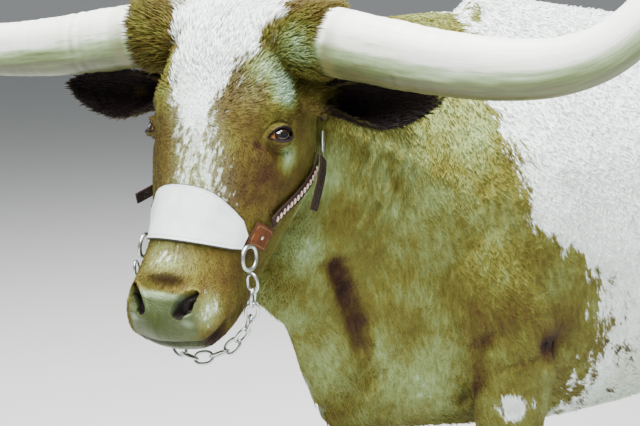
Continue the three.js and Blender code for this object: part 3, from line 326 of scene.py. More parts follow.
def softLight(name, spot, aim, size, power):  # size in metres, power in watts
    lamp = bpy.data.lights.new(name, "AREA")
    lamp.shape, lamp.size, lamp.energy = "DISK", size, power
    light = bpy.data.objects.new(name, lamp)
    light.location = place(spot)
    light.rotation_euler = (Vector(place(aim)) - light.location).to_track_quat("-Z", "Y").to_euler()
    scene.collection.objects.link(light)


softLight("keyLight", (2300, -2900, 4600), (100, -700, 1200), 2.2, 330)
softLight("topLight", (500, -500, 5000), (100, -500, 1000), 3.0, 880)
softLight("fillLight", (-3200, -3400, 2600), (0, -600, 1100), 3.0, 55)
print("camera, floor and lights set")

# Skin: the flesh solids made one, smoothed, and drawn in under the coat.
skinPlan = {"voxel": 0.0034, "fineTriangles": 330000, "vertices": 64000, "softening": 10, "bodySoftening": 30,
            "faceDepth": 1.2, "bodyDepth": 4.0}
flesh = [name for name in cad if name in ("head", "neck", "torso", "tail_dock")
         or name.startswith(("front_leg", "hind_leg", "ear_"))]


def joined(name, nodes):  # solids as one mesh
    points, faces, start = [], [], 0
    for node in nodes:
        mesh = cad[node].data
        points.append(pointsOf(mesh))
        faces.append(cornersOf(mesh) + start)
        start += len(mesh.vertices)
    return pieceOf(name, meshOf(name, np.concatenate(points), np.concatenate(faces)))


def keepLargest(mesh):  # drops scraps that the remesh leaves
    a, b = edgesOf(mesh)
    label = np.arange(len(mesh.vertices))
    while True:
        low = np.minimum(label[a], label[b])
        new = label.copy()
        np.minimum.at(new, a, low)
        np.minimum.at(new, b, low)
        new = new[new]
        if (new == label).all():
            break
        label = new
    drop = np.nonzero(label != np.bincount(label).argmax())[0]
    if len(drop):
        work = bmesh.new()
        work.from_mesh(mesh)
        work.verts.ensure_lookup_table()
        bmesh.ops.delete(work, geom=[work.verts[i] for i in drop], context="VERTS")
        work.to_mesh(mesh)
        work.free()


eye = {"at": (106, -207, -60), "axis": (0.83, 0.02, 0.55), "radius": 19, "long": 22, "above": 12.5, "below": 10,
       "slant": 24, "lid": 3.6, "fine": (34, 30), "levelling": 14, "sunk": 5}
nose = {  # a nostril's middle line across the front of the head, its half widths, and the places round it
    "slit": [(50, -473), (46, -482), (38, -495), (31, -507)], "wide": [4.5, 7.5, 10, 8.5], "deep": 19, "rim": 2.4,
    "hollow": ((6, -461, 4), (38, 14, 30), 8), "top": -482, "centre": (42, -491, -4), "fine": (30, 24),
    "mouth": [(0, -549, -50), (38, -544, -54), (53, -538, -62), (66, -524, -66), (77, -505, -78), (85, -488, -98),
              (88, -476, -124)]}


def headness(points):  # 1 on the head, 0 from the neck back
    return 1 - ease(np.linalg.norm((inHead(points) - (0, -250, -80)) / (1, 1.05, 1), axis=1), 320, 380)


def finePlaces(points):  # round the eyes and on the muzzle
    h = inHead(points)
    spots = [(s * eye["at"][0], *eye["at"][1:], 55) for s in (1, -1)] + [(0, -500, -20, 95)]
    return np.max([np.linalg.norm(h - spot[:3], axis=1) < spot[3] for spot in spots], axis=0)


middlePlaces = [((176, -905, 1190), 135), ((-150, -905, 1190), 110), ((240, -620, 850), 120), ((-240, -620, 850), 90),
                ((120, -915, 930), 110)]  # folds of the neck, elbows and the crease before the shoulder


def middleZones(points):
    p = inBody(points)
    spots = [np.linalg.norm(p - centre, axis=1) < reach for centre, reach in middlePlaces]
    return np.maximum(np.max(spots, axis=0), headness(points))


def thin(piece, keep, triangles):  # collapses edges, least where keep is 1
    group = piece.vertex_groups.new(name="thin")
    group.add(np.nonzero(keep < 0.5)[0].tolist(), 1.0, "REPLACE")
    group.add(np.nonzero(keep >= 0.5)[0].tolist(), 0.0, "REPLACE")
    mesh = piece.data
    total = 2 * (len(mesh.vertices) - 2)
    modify(piece, "DECIMATE", ratio=triangles / total, vertex_group="thin", vertex_group_factor=1.0)
    piece.vertex_groups.clear()


def refine(mesh, chosen):  # splits the edges between the chosen points
    work = bmesh.new()
    work.from_mesh(mesh)
    edges = [e for e in work.edges if chosen[e.verts[0].index] and chosen[e.verts[1].index]]
    bmesh.ops.subdivide_edges(work, edges=edges, cuts=1, use_grid_fill=True)
    bmesh.ops.triangulate(work, faces=[f for f in work.faces if len(f.verts) > 3])
    work.to_mesh(mesh)
    work.free()


skin = joined("skin", flesh)
modify(skin, "REMESH", mode="VOXEL", voxel_size=skinPlan["voxel"])
keepLargest(skin.data)
soften(skin.data, skinPlan["softening"])
print("skin remeshed:", len(skin.data.vertices), "points")
thin(skin, finePlaces(pointsOf(skin.data)), skinPlan["fineTriangles"])
thin(skin, np.maximum(finePlaces(pointsOf(skin.data)), middleZones(pointsOf(skin.data))), 2 * skinPlan["vertices"])
modify(skin, "TRIANGULATE")
soften(skin.data, skinPlan["bodySoftening"], 1 - headness(pointsOf(skin.data)))
print("skin thinned:", len(skin.data.polygons), "triangles")


# Lids: the skin is levelled round each eye, then rises over the ball and opens in an almond.
def eyeFrame(sign):  # the middle of an eye, and its ways out, along and up
    out = unit((sign * eye["axis"][0], *eye["axis"][1:]))
    back = unit(np.cross((0, 1, 0), out)) * sign
    up = np.cross(out, back) * sign
    slant = math.radians(eye["slant"])
    long = back * math.cos(slant) + up * math.sin(slant)
    return np.array((sign * eye["at"][0], *eye["at"][1:])), out, long, up * math.cos(slant) - back * math.sin(slant)


def arch(along, tall, long, height):  # how far inside the arch of a lid a point is
    radius = (long ** 2 + height ** 2) / (2 * height)
    return radius - np.hypot(along, tall + radius - height)


def insideLids(along, tall):  # how far inside the opening between both lids
    return np.minimum(arch(along, tall, eye["long"], eye["above"]), arch(along, -tall, eye["long"], eye["below"]))


def openEyes(mesh):
    for sign in (1, -1):
        centre, out, long, tall = eyeFrame(sign)
        for reach in eye["fine"]:
            refine(mesh, np.linalg.norm(inHead(pointsOf(mesh)) - centre, axis=1) < reach)
        h = inHead(pointsOf(mesh)) - centre
        facing = (h @ out > -32) & (np.linalg.norm(h, axis=1) < 60)
        level = facing * (1 - ease(np.hypot(h @ long, h @ tall), 26, 40))
        relax(mesh, [0.6] * eye["levelling"], level)
        points = pointsOf(mesh)
        h = inHead(points) - centre
        a, b, c = h @ long, h @ tall, h @ out
        across = np.hypot(a, b)
        inside = insideLids(a, b)
        ball = np.sqrt(np.maximum((eye["radius"] + eye["lid"]) ** 2 - across ** 2, 0))
        rim = np.exp(-(np.maximum(-inside, 0) / 3.2) ** 2) * 1.6
        crease = np.exp(-((inside + 9) / 2.2) ** 2) * np.where(b > 0, 2.6, 1.6)
        fold = np.exp(-((inside + 15) / 3.0) ** 2) * np.where(b > 0, 0.6, 1.1)
        lidShare = 1 - ease(-inside, 5, 17)
        shell = c * (1 - lidShare) + np.maximum(c, ball) * lidShare
        raised = shell + rim - crease - fold
        sunk = np.sqrt(np.maximum(eye["radius"] ** 2 - across ** 2, 0)) - eye["sunk"]
        target = raised + (np.minimum(raised, sunk) - raised) * ease(inside, -0.4, 1.6)
        share = facing * (1 - ease(across, 34, 44))
        moved = points + ((target - c) * share)[:, None] * (out @ headAxes) / 1000
        setPoints(mesh, moved)


def offLine(points, line):  # distance from a line through places
    best = np.full(len(points), 1e9)
    for a, b in zip(np.asarray(line[:-1], float), np.asarray(line[1:], float)):
        share = np.clip((points - a) @ (b - a) / ((b - a) @ (b - a)), 0, 1)
        best = np.minimum(best, np.linalg.norm(points - a - share[:, None] * (b - a), axis=1))
    return best


# Creases of the hide: the line of each, its width and its depth.
creases = {
    "neck": ([(153, -979, 1051), (140, -955, 1010), (130, -933, 973), (115, -905, 901), (92, -868, 830),
              (71, -841, 779)], 15, 13),
    "elbowArc": ([(243, -690, 832), (254, -664, 848), (261, -640, 853), (264, -610, 851), (255, -570, 841),
                  (235, -535, 826)], 6, 6),
    "elbowPit": ([(258, -586, 874), (248, -556, 868), (232, -530, 856)], 20, 12),
    "beforeLeg": ([(243, -712, 906), (211, -724, 876), (206, -704, 820), (150, -675, 765), (111, -655, 733)], 12, 8),
}
farSideShare = 0.6  # the creases on the animal's right are shallower
neckFolds = {"at": (176, -905, 1195), "reach": (90, 110, 130), "pitch": 27, "depth": 4.2, "lean": 0.42, "level": 1290}


def neckShare(p):
    return near(p, neckFolds["at"], neckFolds["reach"]) * (p[:, 0] > 40)


def sculptHide(mesh):
    points, normals = pointsOf(mesh), normalsOf(mesh)
    p = inBody(points)
    drop = np.zeros(len(p))
    for line, width, depth in creases.values():
        for sign in (1, -1):
            mirrored = [(sign * x, y, z) for x, y, z in line]
            drop += depth * np.exp(-(offLine(p, mirrored) / width) ** 2) * (1 if sign > 0 else farSideShare)
    across = p[:, 1] - neckFolds["lean"] * (p[:, 2] - neckFolds["level"])
    wave = np.sin(across / neckFolds["pitch"] * 2 * math.pi + 0.9 * np.sin(p[:, 2] / 47) + p[:, 2] / 90)
    drop += neckFolds["depth"] * wave * neckShare(p)
    setPoints(mesh, points - normals * drop[:, None] / 1000)


farOff = 9.0  # the share given to places that belong to no nostril


def slitShare(h, sign):  # 0 along a nostril's middle line, 1 at its edge
    line, best = np.array(nose["slit"], float) * (sign, 1), np.full(len(h), farOff)
    for a, b, wideA, wideB in zip(line, line[1:], nose["wide"], nose["wide"][1:]):
        share = np.clip((h[:, :2] - a) @ (b - a) / ((b - a) @ (b - a)), 0, 1)
        away = np.linalg.norm(h[:, :2] - a - share[:, None] * (b - a), axis=1)
        best = np.minimum(best, away / (wideA + (wideB - wideA) * share))
    return np.where(h[:, 2] > -48, best, farOff)


def mouthShare(h, width):  # 1 in the line of the mouth, fading over the width
    mirrored = np.abs(h[:, 0])[:, None] * (1, 0, 0) + h * (0, 1, 1)
    return np.exp(-(offLine(mirrored, nose["mouth"]) / width) ** 2)


def shapeNose(mesh):
    x, up, front = nose["centre"]
    for reach in nose["fine"]:
        h = inHead(pointsOf(mesh))
        refine(mesh, np.min([np.linalg.norm(h - (s * x, up, front), axis=1) for s in (1, -1)], axis=0) < reach)
    points, normals = pointsOf(mesh), normalsOf(mesh) @ headAxes.T
    h = inHead(points)
    x, up, front = h.T
    push = np.zeros((len(h), 3))
    for sign in (1, -1):
        share = slitShare(h, sign)
        push[:, 2] += nose["rim"] * np.exp(-((share - 1.5) / 0.4) ** 2)
        inside = nose["deep"] * (1 - ease(share, 0.35, 1.1))
        push += inside[:, None] * unit((0.15 * sign, 0.30, -1.0))
    centre, reach, depth = nose["hollow"]
    push[:, 2] -= depth * near(h, centre, reach)
    atFront = ease(front, -40, -15)
    push[:, 2] += 3.2 * np.exp(-((up - nose["top"] - 0.003 * x * x) / 6) ** 2) * np.exp(-(x / 34) ** 2) * atFront
    push[:, 2] -= 2.2 * np.exp(-(x / 3.5) ** 2) * ease(-up, 500, 512) * (1 - ease(-up, 540, 556)) * atFront
    push -= normals * (9 * mouthShare(h, 6.5))[:, None]
    lip = np.exp(-((mouthShare(h, 16) - 0.45) / 0.25) ** 2) * ease(up, -560, -500) * ease(-up, 470, 500)
    push += normals * (1.4 * lip)[:, None]
    setPoints(mesh, points + push @ headAxes / 1000)


openEyes(skin.data)
shapeNose(skin.data)
sculptHide(skin.data)
depth = skinPlan["bodyDepth"] + (skinPlan["faceDepth"] - skinPlan["bodyDepth"]) * headness(pointsOf(skin.data))
setPoints(skin.data, pointsOf(skin.data) - normalsOf(skin.data) * depth[:, None] / 1000)
skin.data.shade_smooth()
print("skin sculpted:", len(skin.data.polygons), "triangles")

# Markings, with painted light and shade: smooth fields over the skin, which the coat's tufts take up too.
blaze = {"up": [-262, -245, -227, -205, -185, -157, -130, -111, -80, -40, -10, 20, 70],
         "right": [6, -14, -20, -33, -45, -55, -62, -67, -77, -88, -90, -84, -60],
         "left": [-6, -8, -4, 8, 18, 26, 38, 56, 73, 92, 84, 66, 40], "soft": 60}
flank = {"z": [600, 753, 796, 867, 944, 1000, 1052, 1094, 1124, 1150, 1235, 1306, 1340, 1400, 1464, 1520],
         "y": [-425, -438, -430, -430, -462, -469, -553, -612, -639, -632, -655, -670, -690, -655, -612, -570],
         "soft": 120}
# Patches: where, reach and how much lighter (or, below 0, darker) the brown is there.
bodyTones = [
    ((190, -850, 1140), (150, 120, 130), 0.26), ((205, -740, 1290), (120, 130, 110), 0.42),
    ((220, -700, 1120), (120, 90, 90), 0.22), ((250, -680, 935), (90, 150, 70), -0.30),
    # The darker patch at (235, -560, 900) is painted shade in the pit behind the elbow.
    ((235, -560, 900), (90, 90, 80), -0.28), ((100, -770, 790), (150, 120, 130), 0.62),
    ((119, -864, 880), (60, 60, 110), 0.34), ((60, -960, 900), (80, 70, 160), 0.36),
    ((150, -800, 1010), (50, 90, 110), 0.25), ((230, -640, 760), (80, 90, 60), 0.16),
    ((-190, -820, 1120), (120, 160, 160), 0.25),
    ((165, -990, 1230), (46, 34, 110), 0.80), ((0, -600, 1480), (120, 260, 60), 0.20)]
headTones = [
    ((102, -142, -48), (36, 46, 44), 1.75), ((120, -232, -84), (24, 44, 32), 1.15),
    ((82, -118, -12), (44, 38, 40), 0.95), ((84, -205, -14), (24, 40, 26), -0.22),
    ((118, -262, -212), (60, 110, 62), 0.80), ((92, -345, -270), (60, 90, 60), 0.62),
    ((60, -470, -360), (90, 120, 100), 0.35), ((-70, -150, -20), (42, 80, 60), 0.34),
    ((-58, -140, 2), (16, 40, 20), -0.35), ((0, -412, 0), (90, 50, 60), 0.25),
    ((95, -330, -90), (50, 60, 60), 0.12), ((-135, -60, -10), (40, 40, 60), 0.10),
    ((124, -78, -5), (62, 62, 60), 0.85), ((70, -250, -40), (40, 40, 40), 0.18),
    ((98, -430, -95), (30, 60, 60), 0.20), ((88, -232, -34), (16, 9, 18), -0.55),
    # Painted: shade in the hollow above the pad at (6, -461, 4) and on the lower pad at (0, -528, -10); highlights on
    # the pad's top ridge at (-4, -484, 3) and on the lower rims of the nostrils at (46 and -46, -519, -14).
    ((6, -461, 4), (44, 13, 26), -0.62), ((0, -436, 5), (70, 20, 34), 0.30), ((-4, -484, 3), (58, 10, 34), 0.85),
    ((0, -528, -10), (62, 26, 44), -0.35), ((46, -519, -14), (14, 9, 20), 0.95), ((-46, -519, -14), (14, 9, 20), 0.95),
    ((64, -492, -36), (22, 42, 34), 0.62), ((86, -440, -60), (32, 46, 50), -0.28),
    ((85, -290, -70), (80, 120, 90), -0.34), ((0, -300, 0), (70, 60, 50), 0.25),
    ((-85, -240, -20), (50, 110, 60), -0.25), ((90, -400, -60), (40, 80, 60), -0.25)]
whorl = (-5, -215, 8)  # the hair of the face lies away from here
bodyPatches = [((200, 660, 1330), (190, 140, 120), 1.5), ((-190, 300, 1150), (150, 190, 150), 1.6),
               ((300, 330, 960), (90, 130, 90), 1.2), ((-250, 690, 1120), (150, 120, 150), 1.4)]


def nearNode(points, node, reach):  # 1 where a point lies within reach of a solid
    mesh = cad[node].data
    tree = BVHTree.FromPolygons(pointsOf(mesh).tolist(), cornersOf(mesh).tolist())
    low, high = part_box(node)
    pad = reach / 1000
    inside = ((points > np.array(low) - pad) & (points < np.array(high) + pad)).all(1)
    found = np.zeros(len(points))
    for i in np.nonzero(inside)[0]:
        hit = tree.find_nearest(Vector(points[i]), pad)
        found[i] = hit[0] is not None
    return found


def nearLids(h, sign, fade, reach, behind):  # 1 in the opening of an eye, to 0 over the fade outside it
    centre, out, long, tall = eyeFrame(sign)
    e = h - centre
    opening = ease(insideLids(e @ long, e @ tall), *fade)
    return opening * (np.linalg.norm(e, axis=1) < reach) * (e @ out > behind)


def markingsAndPaintedLight(points, normals):
    p, h = inBody(points), inHead(points)
    onHeadShare = headness(points)
    x, up, front = h.T

    edge = np.minimum(x - np.interp(up, blaze["up"], blaze["right"]), np.interp(up, blaze["up"], blaze["left"]) - x)
    onFace = np.clip(edge / blaze["soft"], -1, 1) - 2 * ease(-front, 60, 130) - ease(-up, 245, 290)
    middle = np.interp(up, [-345, -270, -190], [20, 14, -12])
    roanFace = (-0.12 - 0.5 * ease(np.abs(x - middle), 26, 66) - ease(-up, 335, 420) - ease(up, -175, -120)
                - ease(-front, 30, 70))
    faceWhite = np.maximum(onFace, roanFace)
    flecks = (1 - ease(np.abs(x - middle), 14, 64)) * ease(up, -385, -350) * (1 - ease(up, -150, -60))
    flecks = np.maximum(flecks, 0.62 * near(h, (-2, -425, 4), (70, 44, 40)))
    flecks = np.maximum(flecks, 0.75 * near(h, (66, -490, -36), (26, 44, 36)))
    flecks = np.maximum(flecks, 0.55 * near(h, (70, -130, -8), (60, 70, 50))) * ease(front, -110, -50) * onHeadShare

    side = np.where(p[:, 0] > 0, 0, 70 * np.sin(p[:, 2] / 83))
    back = np.clip((p[:, 1] - np.interp(p[:, 2], flank["z"], flank["y"]) - side) / flank["soft"], -1, 1)
    sure = 0.30 + 0.12 * ease(p[:, 2], 800, 960) + 0.4 * ease(p[:, 2], 960, 1150) + 0.12 * ease(p[:, 1], -300, 100)
    bodyWhite = np.where(back > 0, back * sure, back)
    for centre, reach, brown in bodyPatches:
        bodyWhite -= brown * near(p, centre, reach)
    foreleg = (p[:, 1] < -380) * (np.abs(p[:, 0]) > 90)
    bodyWhite = np.maximum(bodyWhite, foreleg * (1.45 - 1.5 * ease(p[:, 2], 540, 790)) - 1)
    bodyWhite = np.maximum(bodyWhite, 1.22 * near(p, (238, -650, 762), (104, 130, 84)) - 1)
    bodyWhite = np.where((p[:, 1] > 860) & (p[:, 2] < 1380), -0.4, bodyWhite)  # tail
    white = bodyWhite * (1 - onHeadShare) + faceWhite * onHeadShare

    tone, headTone, dark = np.zeros((3, len(p)))
    for centre, reach, light in bodyTones:
        tone += light * near(p, centre, reach)
    for centre, reach, light in headTones:
        headTone += light * near(h, centre, reach)
    tone = tone * (1 - 0.8 * onHeadShare)
    # Painted shade: the white of the lower flank darker between 640 and 760 mm up, where the belly side turns from the
    # light.
    tone -= 0.75 * ease(-p[:, 2], -980, -760) * ease(p[:, 2], 560, 640) * ease(bodyWhite, 0.02, 0.2)
    # Painted shade: the hide darker along the creases of the neck, the elbow and before the leg.
    for name, deep in (("neck", 2.5), ("elbowArc", 0.7), ("elbowPit", 1.5), ("beforeLeg", 0.9)):
        line, width, _ = creases[name]
        deep = deep * (0.3 + 0.7 * ease(p[:, 2], 850, 930)) if name == "neck" else deep
        tone -= deep * np.exp(-(offLine(p, line) / width) ** 2)

    # Ears: the cup is nearly black, its back brown. Rims of the lids are dark too, and the openings of the nostrils and
    # the line of the mouth are painted dark as shade.
    n = normals @ headAxes.T
    for sign in (1, -1):
        outward = (h - (sign * 122, -118, -120)) @ unit((sign * 0.95, 0.02, -0.06))
        ear = nearNode(points, "ear_left" if sign > 0 else "ear_right", 7) * ease(outward, 14, 34)
        cup = ease(n @ unit((0, -0.3, 0.95)), -0.15, 0.35)
        tan = near(h, (sign * 204, -120, -140), (15, 13, 30))
        dark = np.maximum(dark, ear * (0.35 + 0.65 * cup) * (1 - 0.8 * tan))
        dark = np.maximum(dark, nearLids(h, sign, (-3.2, -1.2), 40, -10))
        dark = np.maximum(dark, 0.97 * (1 - ease(slitShare(h, sign), 0.75, 1.15)))
    dark = np.maximum(dark, 0.9 * mouthShare(h, 9) * ease(-up, 470, 485))
    bare = (1 - ease(up, nose["top"] - 1, nose["top"] + 9)) * (1 - ease(np.abs(x), 48, 64)) * ease(front, -62, -30)
    bare = np.maximum(bare, ease(-up, 522, 534) * ease(-front, 40, 60) * (1 - ease(np.abs(x), 40, 62)))
    # Painted shade: darker under the muzzle, on the lower lip and chin.
    headTone -= 0.8 * ease(-up, 500, 530) * ease(-front, 60, 75)

    tone += (headTone - 0.26 * ease(front, -210, -120)) * onHeadShare + 0.15
    # Painted light: the neck behind the jaw made lighter where the horn shades it.
    tone += 0.204 * near(p, (175, -880, 1240), (110, 130, 190))

    # Coordinates for the grain of the coat, pressed together along the lie of the hair.
    body = np.stack([p[:, 0], p[:, 1] + 0.25 * (p[:, 2] - 1100), 0.38 * p[:, 2]], 1)
    grain = np.where(onHeadShare[:, None] > 0.5, h * (1, 0.42, 1), body)
    return {"white": white, "roan": flecks, "tone": tone, "dark": np.clip(dark, 0, 1), "bare": bare,
            "grain": grain / 1000, "streaks": neckShare(p)}


for name, values in markingsAndPaintedLight(pointsOf(skin.data), normalsOf(skin.data)).items():
    setField(skin.data, name, values)


# Scales of the noises that mottle the coat, from its broad patches to single hairs.
mottle = {"patches": 13.0, "specks": 42.0, "locks": 95.0, "mixed": 150.0, "fine": 210.0, "hairs": 620.0}


def hairColours(finish):  # the colour of the hair, and the two noises its height is made of
    grain = finish.field("grain", "Vector")
    patches = finish.noise(finish.here(), mottle["patches"], 4)
    locks = finish.noise(grain, mottle["locks"], 3)
    hairs = finish.noise(grain, mottle["hairs"], 2)
    # The folds noise, where the "streaks" field is set, paints streaks of light and shade over the neck's folds.
    folds = finish.noise(finish.scaled(grain, (40, 40, 6)), 1.0, 3) - 0.5
    shade = (finish.field("tone") + (patches - 0.5) * 0.95 + (locks - 0.5) * 0.75 + (hairs - 0.5) * 0.45
             + folds * finish.field("streaks") * 1.8)
    brown = finish.node("ShaderNodeValToRGB", {"stops": [
        (0.0, (0.012, 0.002, 0.001)), (0.22, (0.040, 0.014, 0.002)), (0.42, (0.088, 0.062, 0.006)),
        (0.58, (0.138, 0.134, 0.018)), (0.78, (0.24, 0.31, 0.11)), (1.0, (0.48, 0.66, 0.47))]},
        finish.node("ShaderNodeMapRange", {}, shade, -1.1, 1.1))
    specks = finish.noise(grain, mottle["specks"], 5, 0.6) - 0.5
    fine = finish.noise(grain, mottle["fine"], 3) - 0.5
    white = finish.ramp(finish.field("white") + specks * 1.5 + fine * 0.7, -0.05, 0.12)
    pale = finish.blend(finish.ramp(hairs + locks * 0.6, 0.55, 1.1), (0.66, 0.73, 0.68), (0.93, 0.98, 0.95))
    mixed = finish.noise(grain, mottle["mixed"], 3, 0.6)
    roan = (finish.ramp(finish.field("roan") * 0.8 + (mixed - 0.5) * 3.6, 0.55, 1.05)
            * finish.ramp(finish.field("roan"), 0.02, 0.2))
    brown = finish.blend(finish.field("roan") * 0.12 + roan * 0.8, brown, (0.56, 0.63, 0.53))
    # White hair turns olive where the tone is low: on brown patches in the white, and as painted shade on the lower
    # flank and in the creases.
    pale = finish.blend(finish.ramp(0 - finish.field("tone"), 0.15, 1.0), pale, (0.40, 0.48, 0.30))
    return finish.blend(white, brown, pale), hairs, locks


hide = Finish("hide")
colour, hairs, locks = hairColours(hide)
bare = hide.field("bare")
pores = hide.node("ShaderNodeTexVoronoi", {}, Vector=hide.here(), Scale=420.0)
padShade = hide.field("tone") + (hide.noise(hide.here(), 60.0, 3) - 0.5) * 0.7
pad = hide.blend(hide.ramp(padShade, -0.5, 1.4), (0.045, 0.060, 0.009), (0.30, 0.40, 0.24))
colour = hide.blend(bare, colour, pad)
# Near black where "dark" is set: the ears and lids, and painted shade in the nostrils and the mouth.
colour = hide.blend(hide.field("dark"), colour, (0.010, 0.005, 0.005))
height = (hairs * 0.5 + locks * 0.5) * (1 - bare) + pores * bare * 0.8
skin.data.materials.clear()
skin.data.materials.append(hide.surface(
    BaseColor=colour, Roughness=0.72 - bare * 0.28, SpecularIORLevel=0.25,
    Normal=hide.bump(height, 0.002, 0.75)))
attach(skin, "root")
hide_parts(*flesh)
print("markings laid")

# Coat: tufts over the skin, laid along the hair and coloured as the skin is at their roots.
breastFrom = -700  # before this the hair hangs nearly straight down


def lieOfHair(points, normals):  # the way each place's hair points, along the skin
    p, h = inBody(points), inHead(points)
    onHeadShare = headness(points)[:, None]
    x, up, front = h.T
    under = ease(-normals[:, 2], 0.3, 0.8)
    top = ease(normals[:, 2], 0.6, 0.95)
    back = 0.5 + 0.5 * under + 0.5 * top
    low = ease(-p[:, 2], -760, -600)  # legs
    side = np.sign(p[:, 0])
    body = np.stack([side * 0.25 * top - side * 0.1, back * (1 - low) + 0.06,
                     -0.85 * (1 - 0.8 * under) - 0.3 * low], 1)
    body[p[:, 1] > tailFrom] = (0, 0.08, -1)
    body[p[:, 1] < breastFrom] = (0, 0.28, -0.96)
    away = unit(h - whorl)
    face = np.stack([x / 260, np.full(len(h), -1.0), -0.5 * ease(np.abs(x), 60, 120)], 1)
    boss = np.stack([np.sign(x) * 1.0, np.full(len(h), 0.25), np.zeros(len(h))], 1)
    above = ease(up, -250, -195)[:, None]
    onBoss = (ease(np.abs(x), 70, 112) * ease(up, -135, -95))[:, None]
    head = face * (1 - above) + away * above
    head = head * (1 - onBoss) + boss * onBoss
    behind = ease(-front, 90, 150)[:, None]
    head = head * (1 - behind) + np.array((0, -0.8, -0.6)) * behind
    lie = body * (1 - onHeadShare) + (unit(head) @ headAxes) * onHeadShare
    for name, sign in sides.items():
        ear = nearNode(points, f"ear_{name}", 7)[:, None]
        outward = unit(np.array((0.95 * sign, 0.0, -0.1))) @ headAxes
        lie = lie * (1 - ear) + outward * ear
    swirl = 0.22 * np.sin(p[:, 0] / 31 + 1.7 * np.sin(p[:, 2] / 53)) + 0.16 * np.sin(p[:, 1] / 23 + p[:, 2] / 37)
    lie -= normals * (lie * normals).sum(1, keepdims=True)
    lie = unit(lie)
    return unit(lie + np.cross(normals, lie) * swirl[:, None])


def coatFields(points, normals):  # length of the hair in millimetres, and which coat it belongs to
    p, h = inBody(points), inHead(points)
    onHeadShare = headness(points)
    x, up, front = h.T
    bare = markingsAndPaintedLight(points, normals)["bare"]
    ears = np.maximum(nearNode(points, "ear_left", 7), nearNode(points, "ear_right", 7))
    body = 11 + 9 * near(p, (30, -900, 720), (150, 190, 230)) + 8 * ease(-normals[:, 2], 0.5, 0.9) * (p[:, 2] < 800)
    body += 7 * near(p, (40, -900, 1500), (120, 300, 120))
    crown = ease(up, -190, -90) * ease(front, -120, -50) * (1 - ears)
    boss = ease(np.abs(x), 88, 118) * ease(up, -125, -95) * (1 - ears)
    face = 5.5 + 2.5 * ease(up, -300, -200) + 9 * crown + 5 * boss + 5 * ease(-front, 100, 200)
    length = body * (1 - onHeadShare) + face * onHeadShare
    length = length * (1 - ears) + 13 * ears
    low = (p[:, 2] < 640) & (p[:, 1] < 860)
    fetlock = low * near(np.stack([p[:, 2], normals[:, 1]], 1), (140, 1), (80, 1.2))
    length = np.where(low, 8 + 16 * fetlock + 6 * (p[:, 2] < 92), length)
    tail = (p[:, 1] > tailFrom) & (p[:, 2] > 700)
    length = np.where(tail, 22, length)
    lids = np.max([nearLids(h, sign, (-4.5, -3), 45, -45) for sign in (1, -1)], axis=0)
    growing = (1 - ease(bare, 0.2, 0.6)) * (1 - 0.9 * lids)
    return length, growing, ears, crown, boss, tail, fetlock


spikes = {  # a tuft lies along y, one long and one wide
    "short": ([(-0.5, 0, -0.1), (0.5, 0, -0.1), (0, 0.25, 0.3), (0, 1, 0)],
              [(0, 2, 1), (0, 1, 3), (1, 2, 3), (2, 0, 3)]),
    "long": ([(-0.45, 0, -0.1), (0.45, 0, -0.1), (0, 0, 0.35), (-0.4, 0.55, 0.35), (0.4, 0.55, 0.35), (0, 0.55, 0.8),
              (0.1, 1, 0.1)],
             [(0, 2, 1), (0, 1, 4), (0, 4, 3), (1, 2, 5), (1, 5, 4), (2, 0, 3), (2, 3, 5), (3, 4, 6), (4, 5, 6),
              (5, 3, 6)]),
}


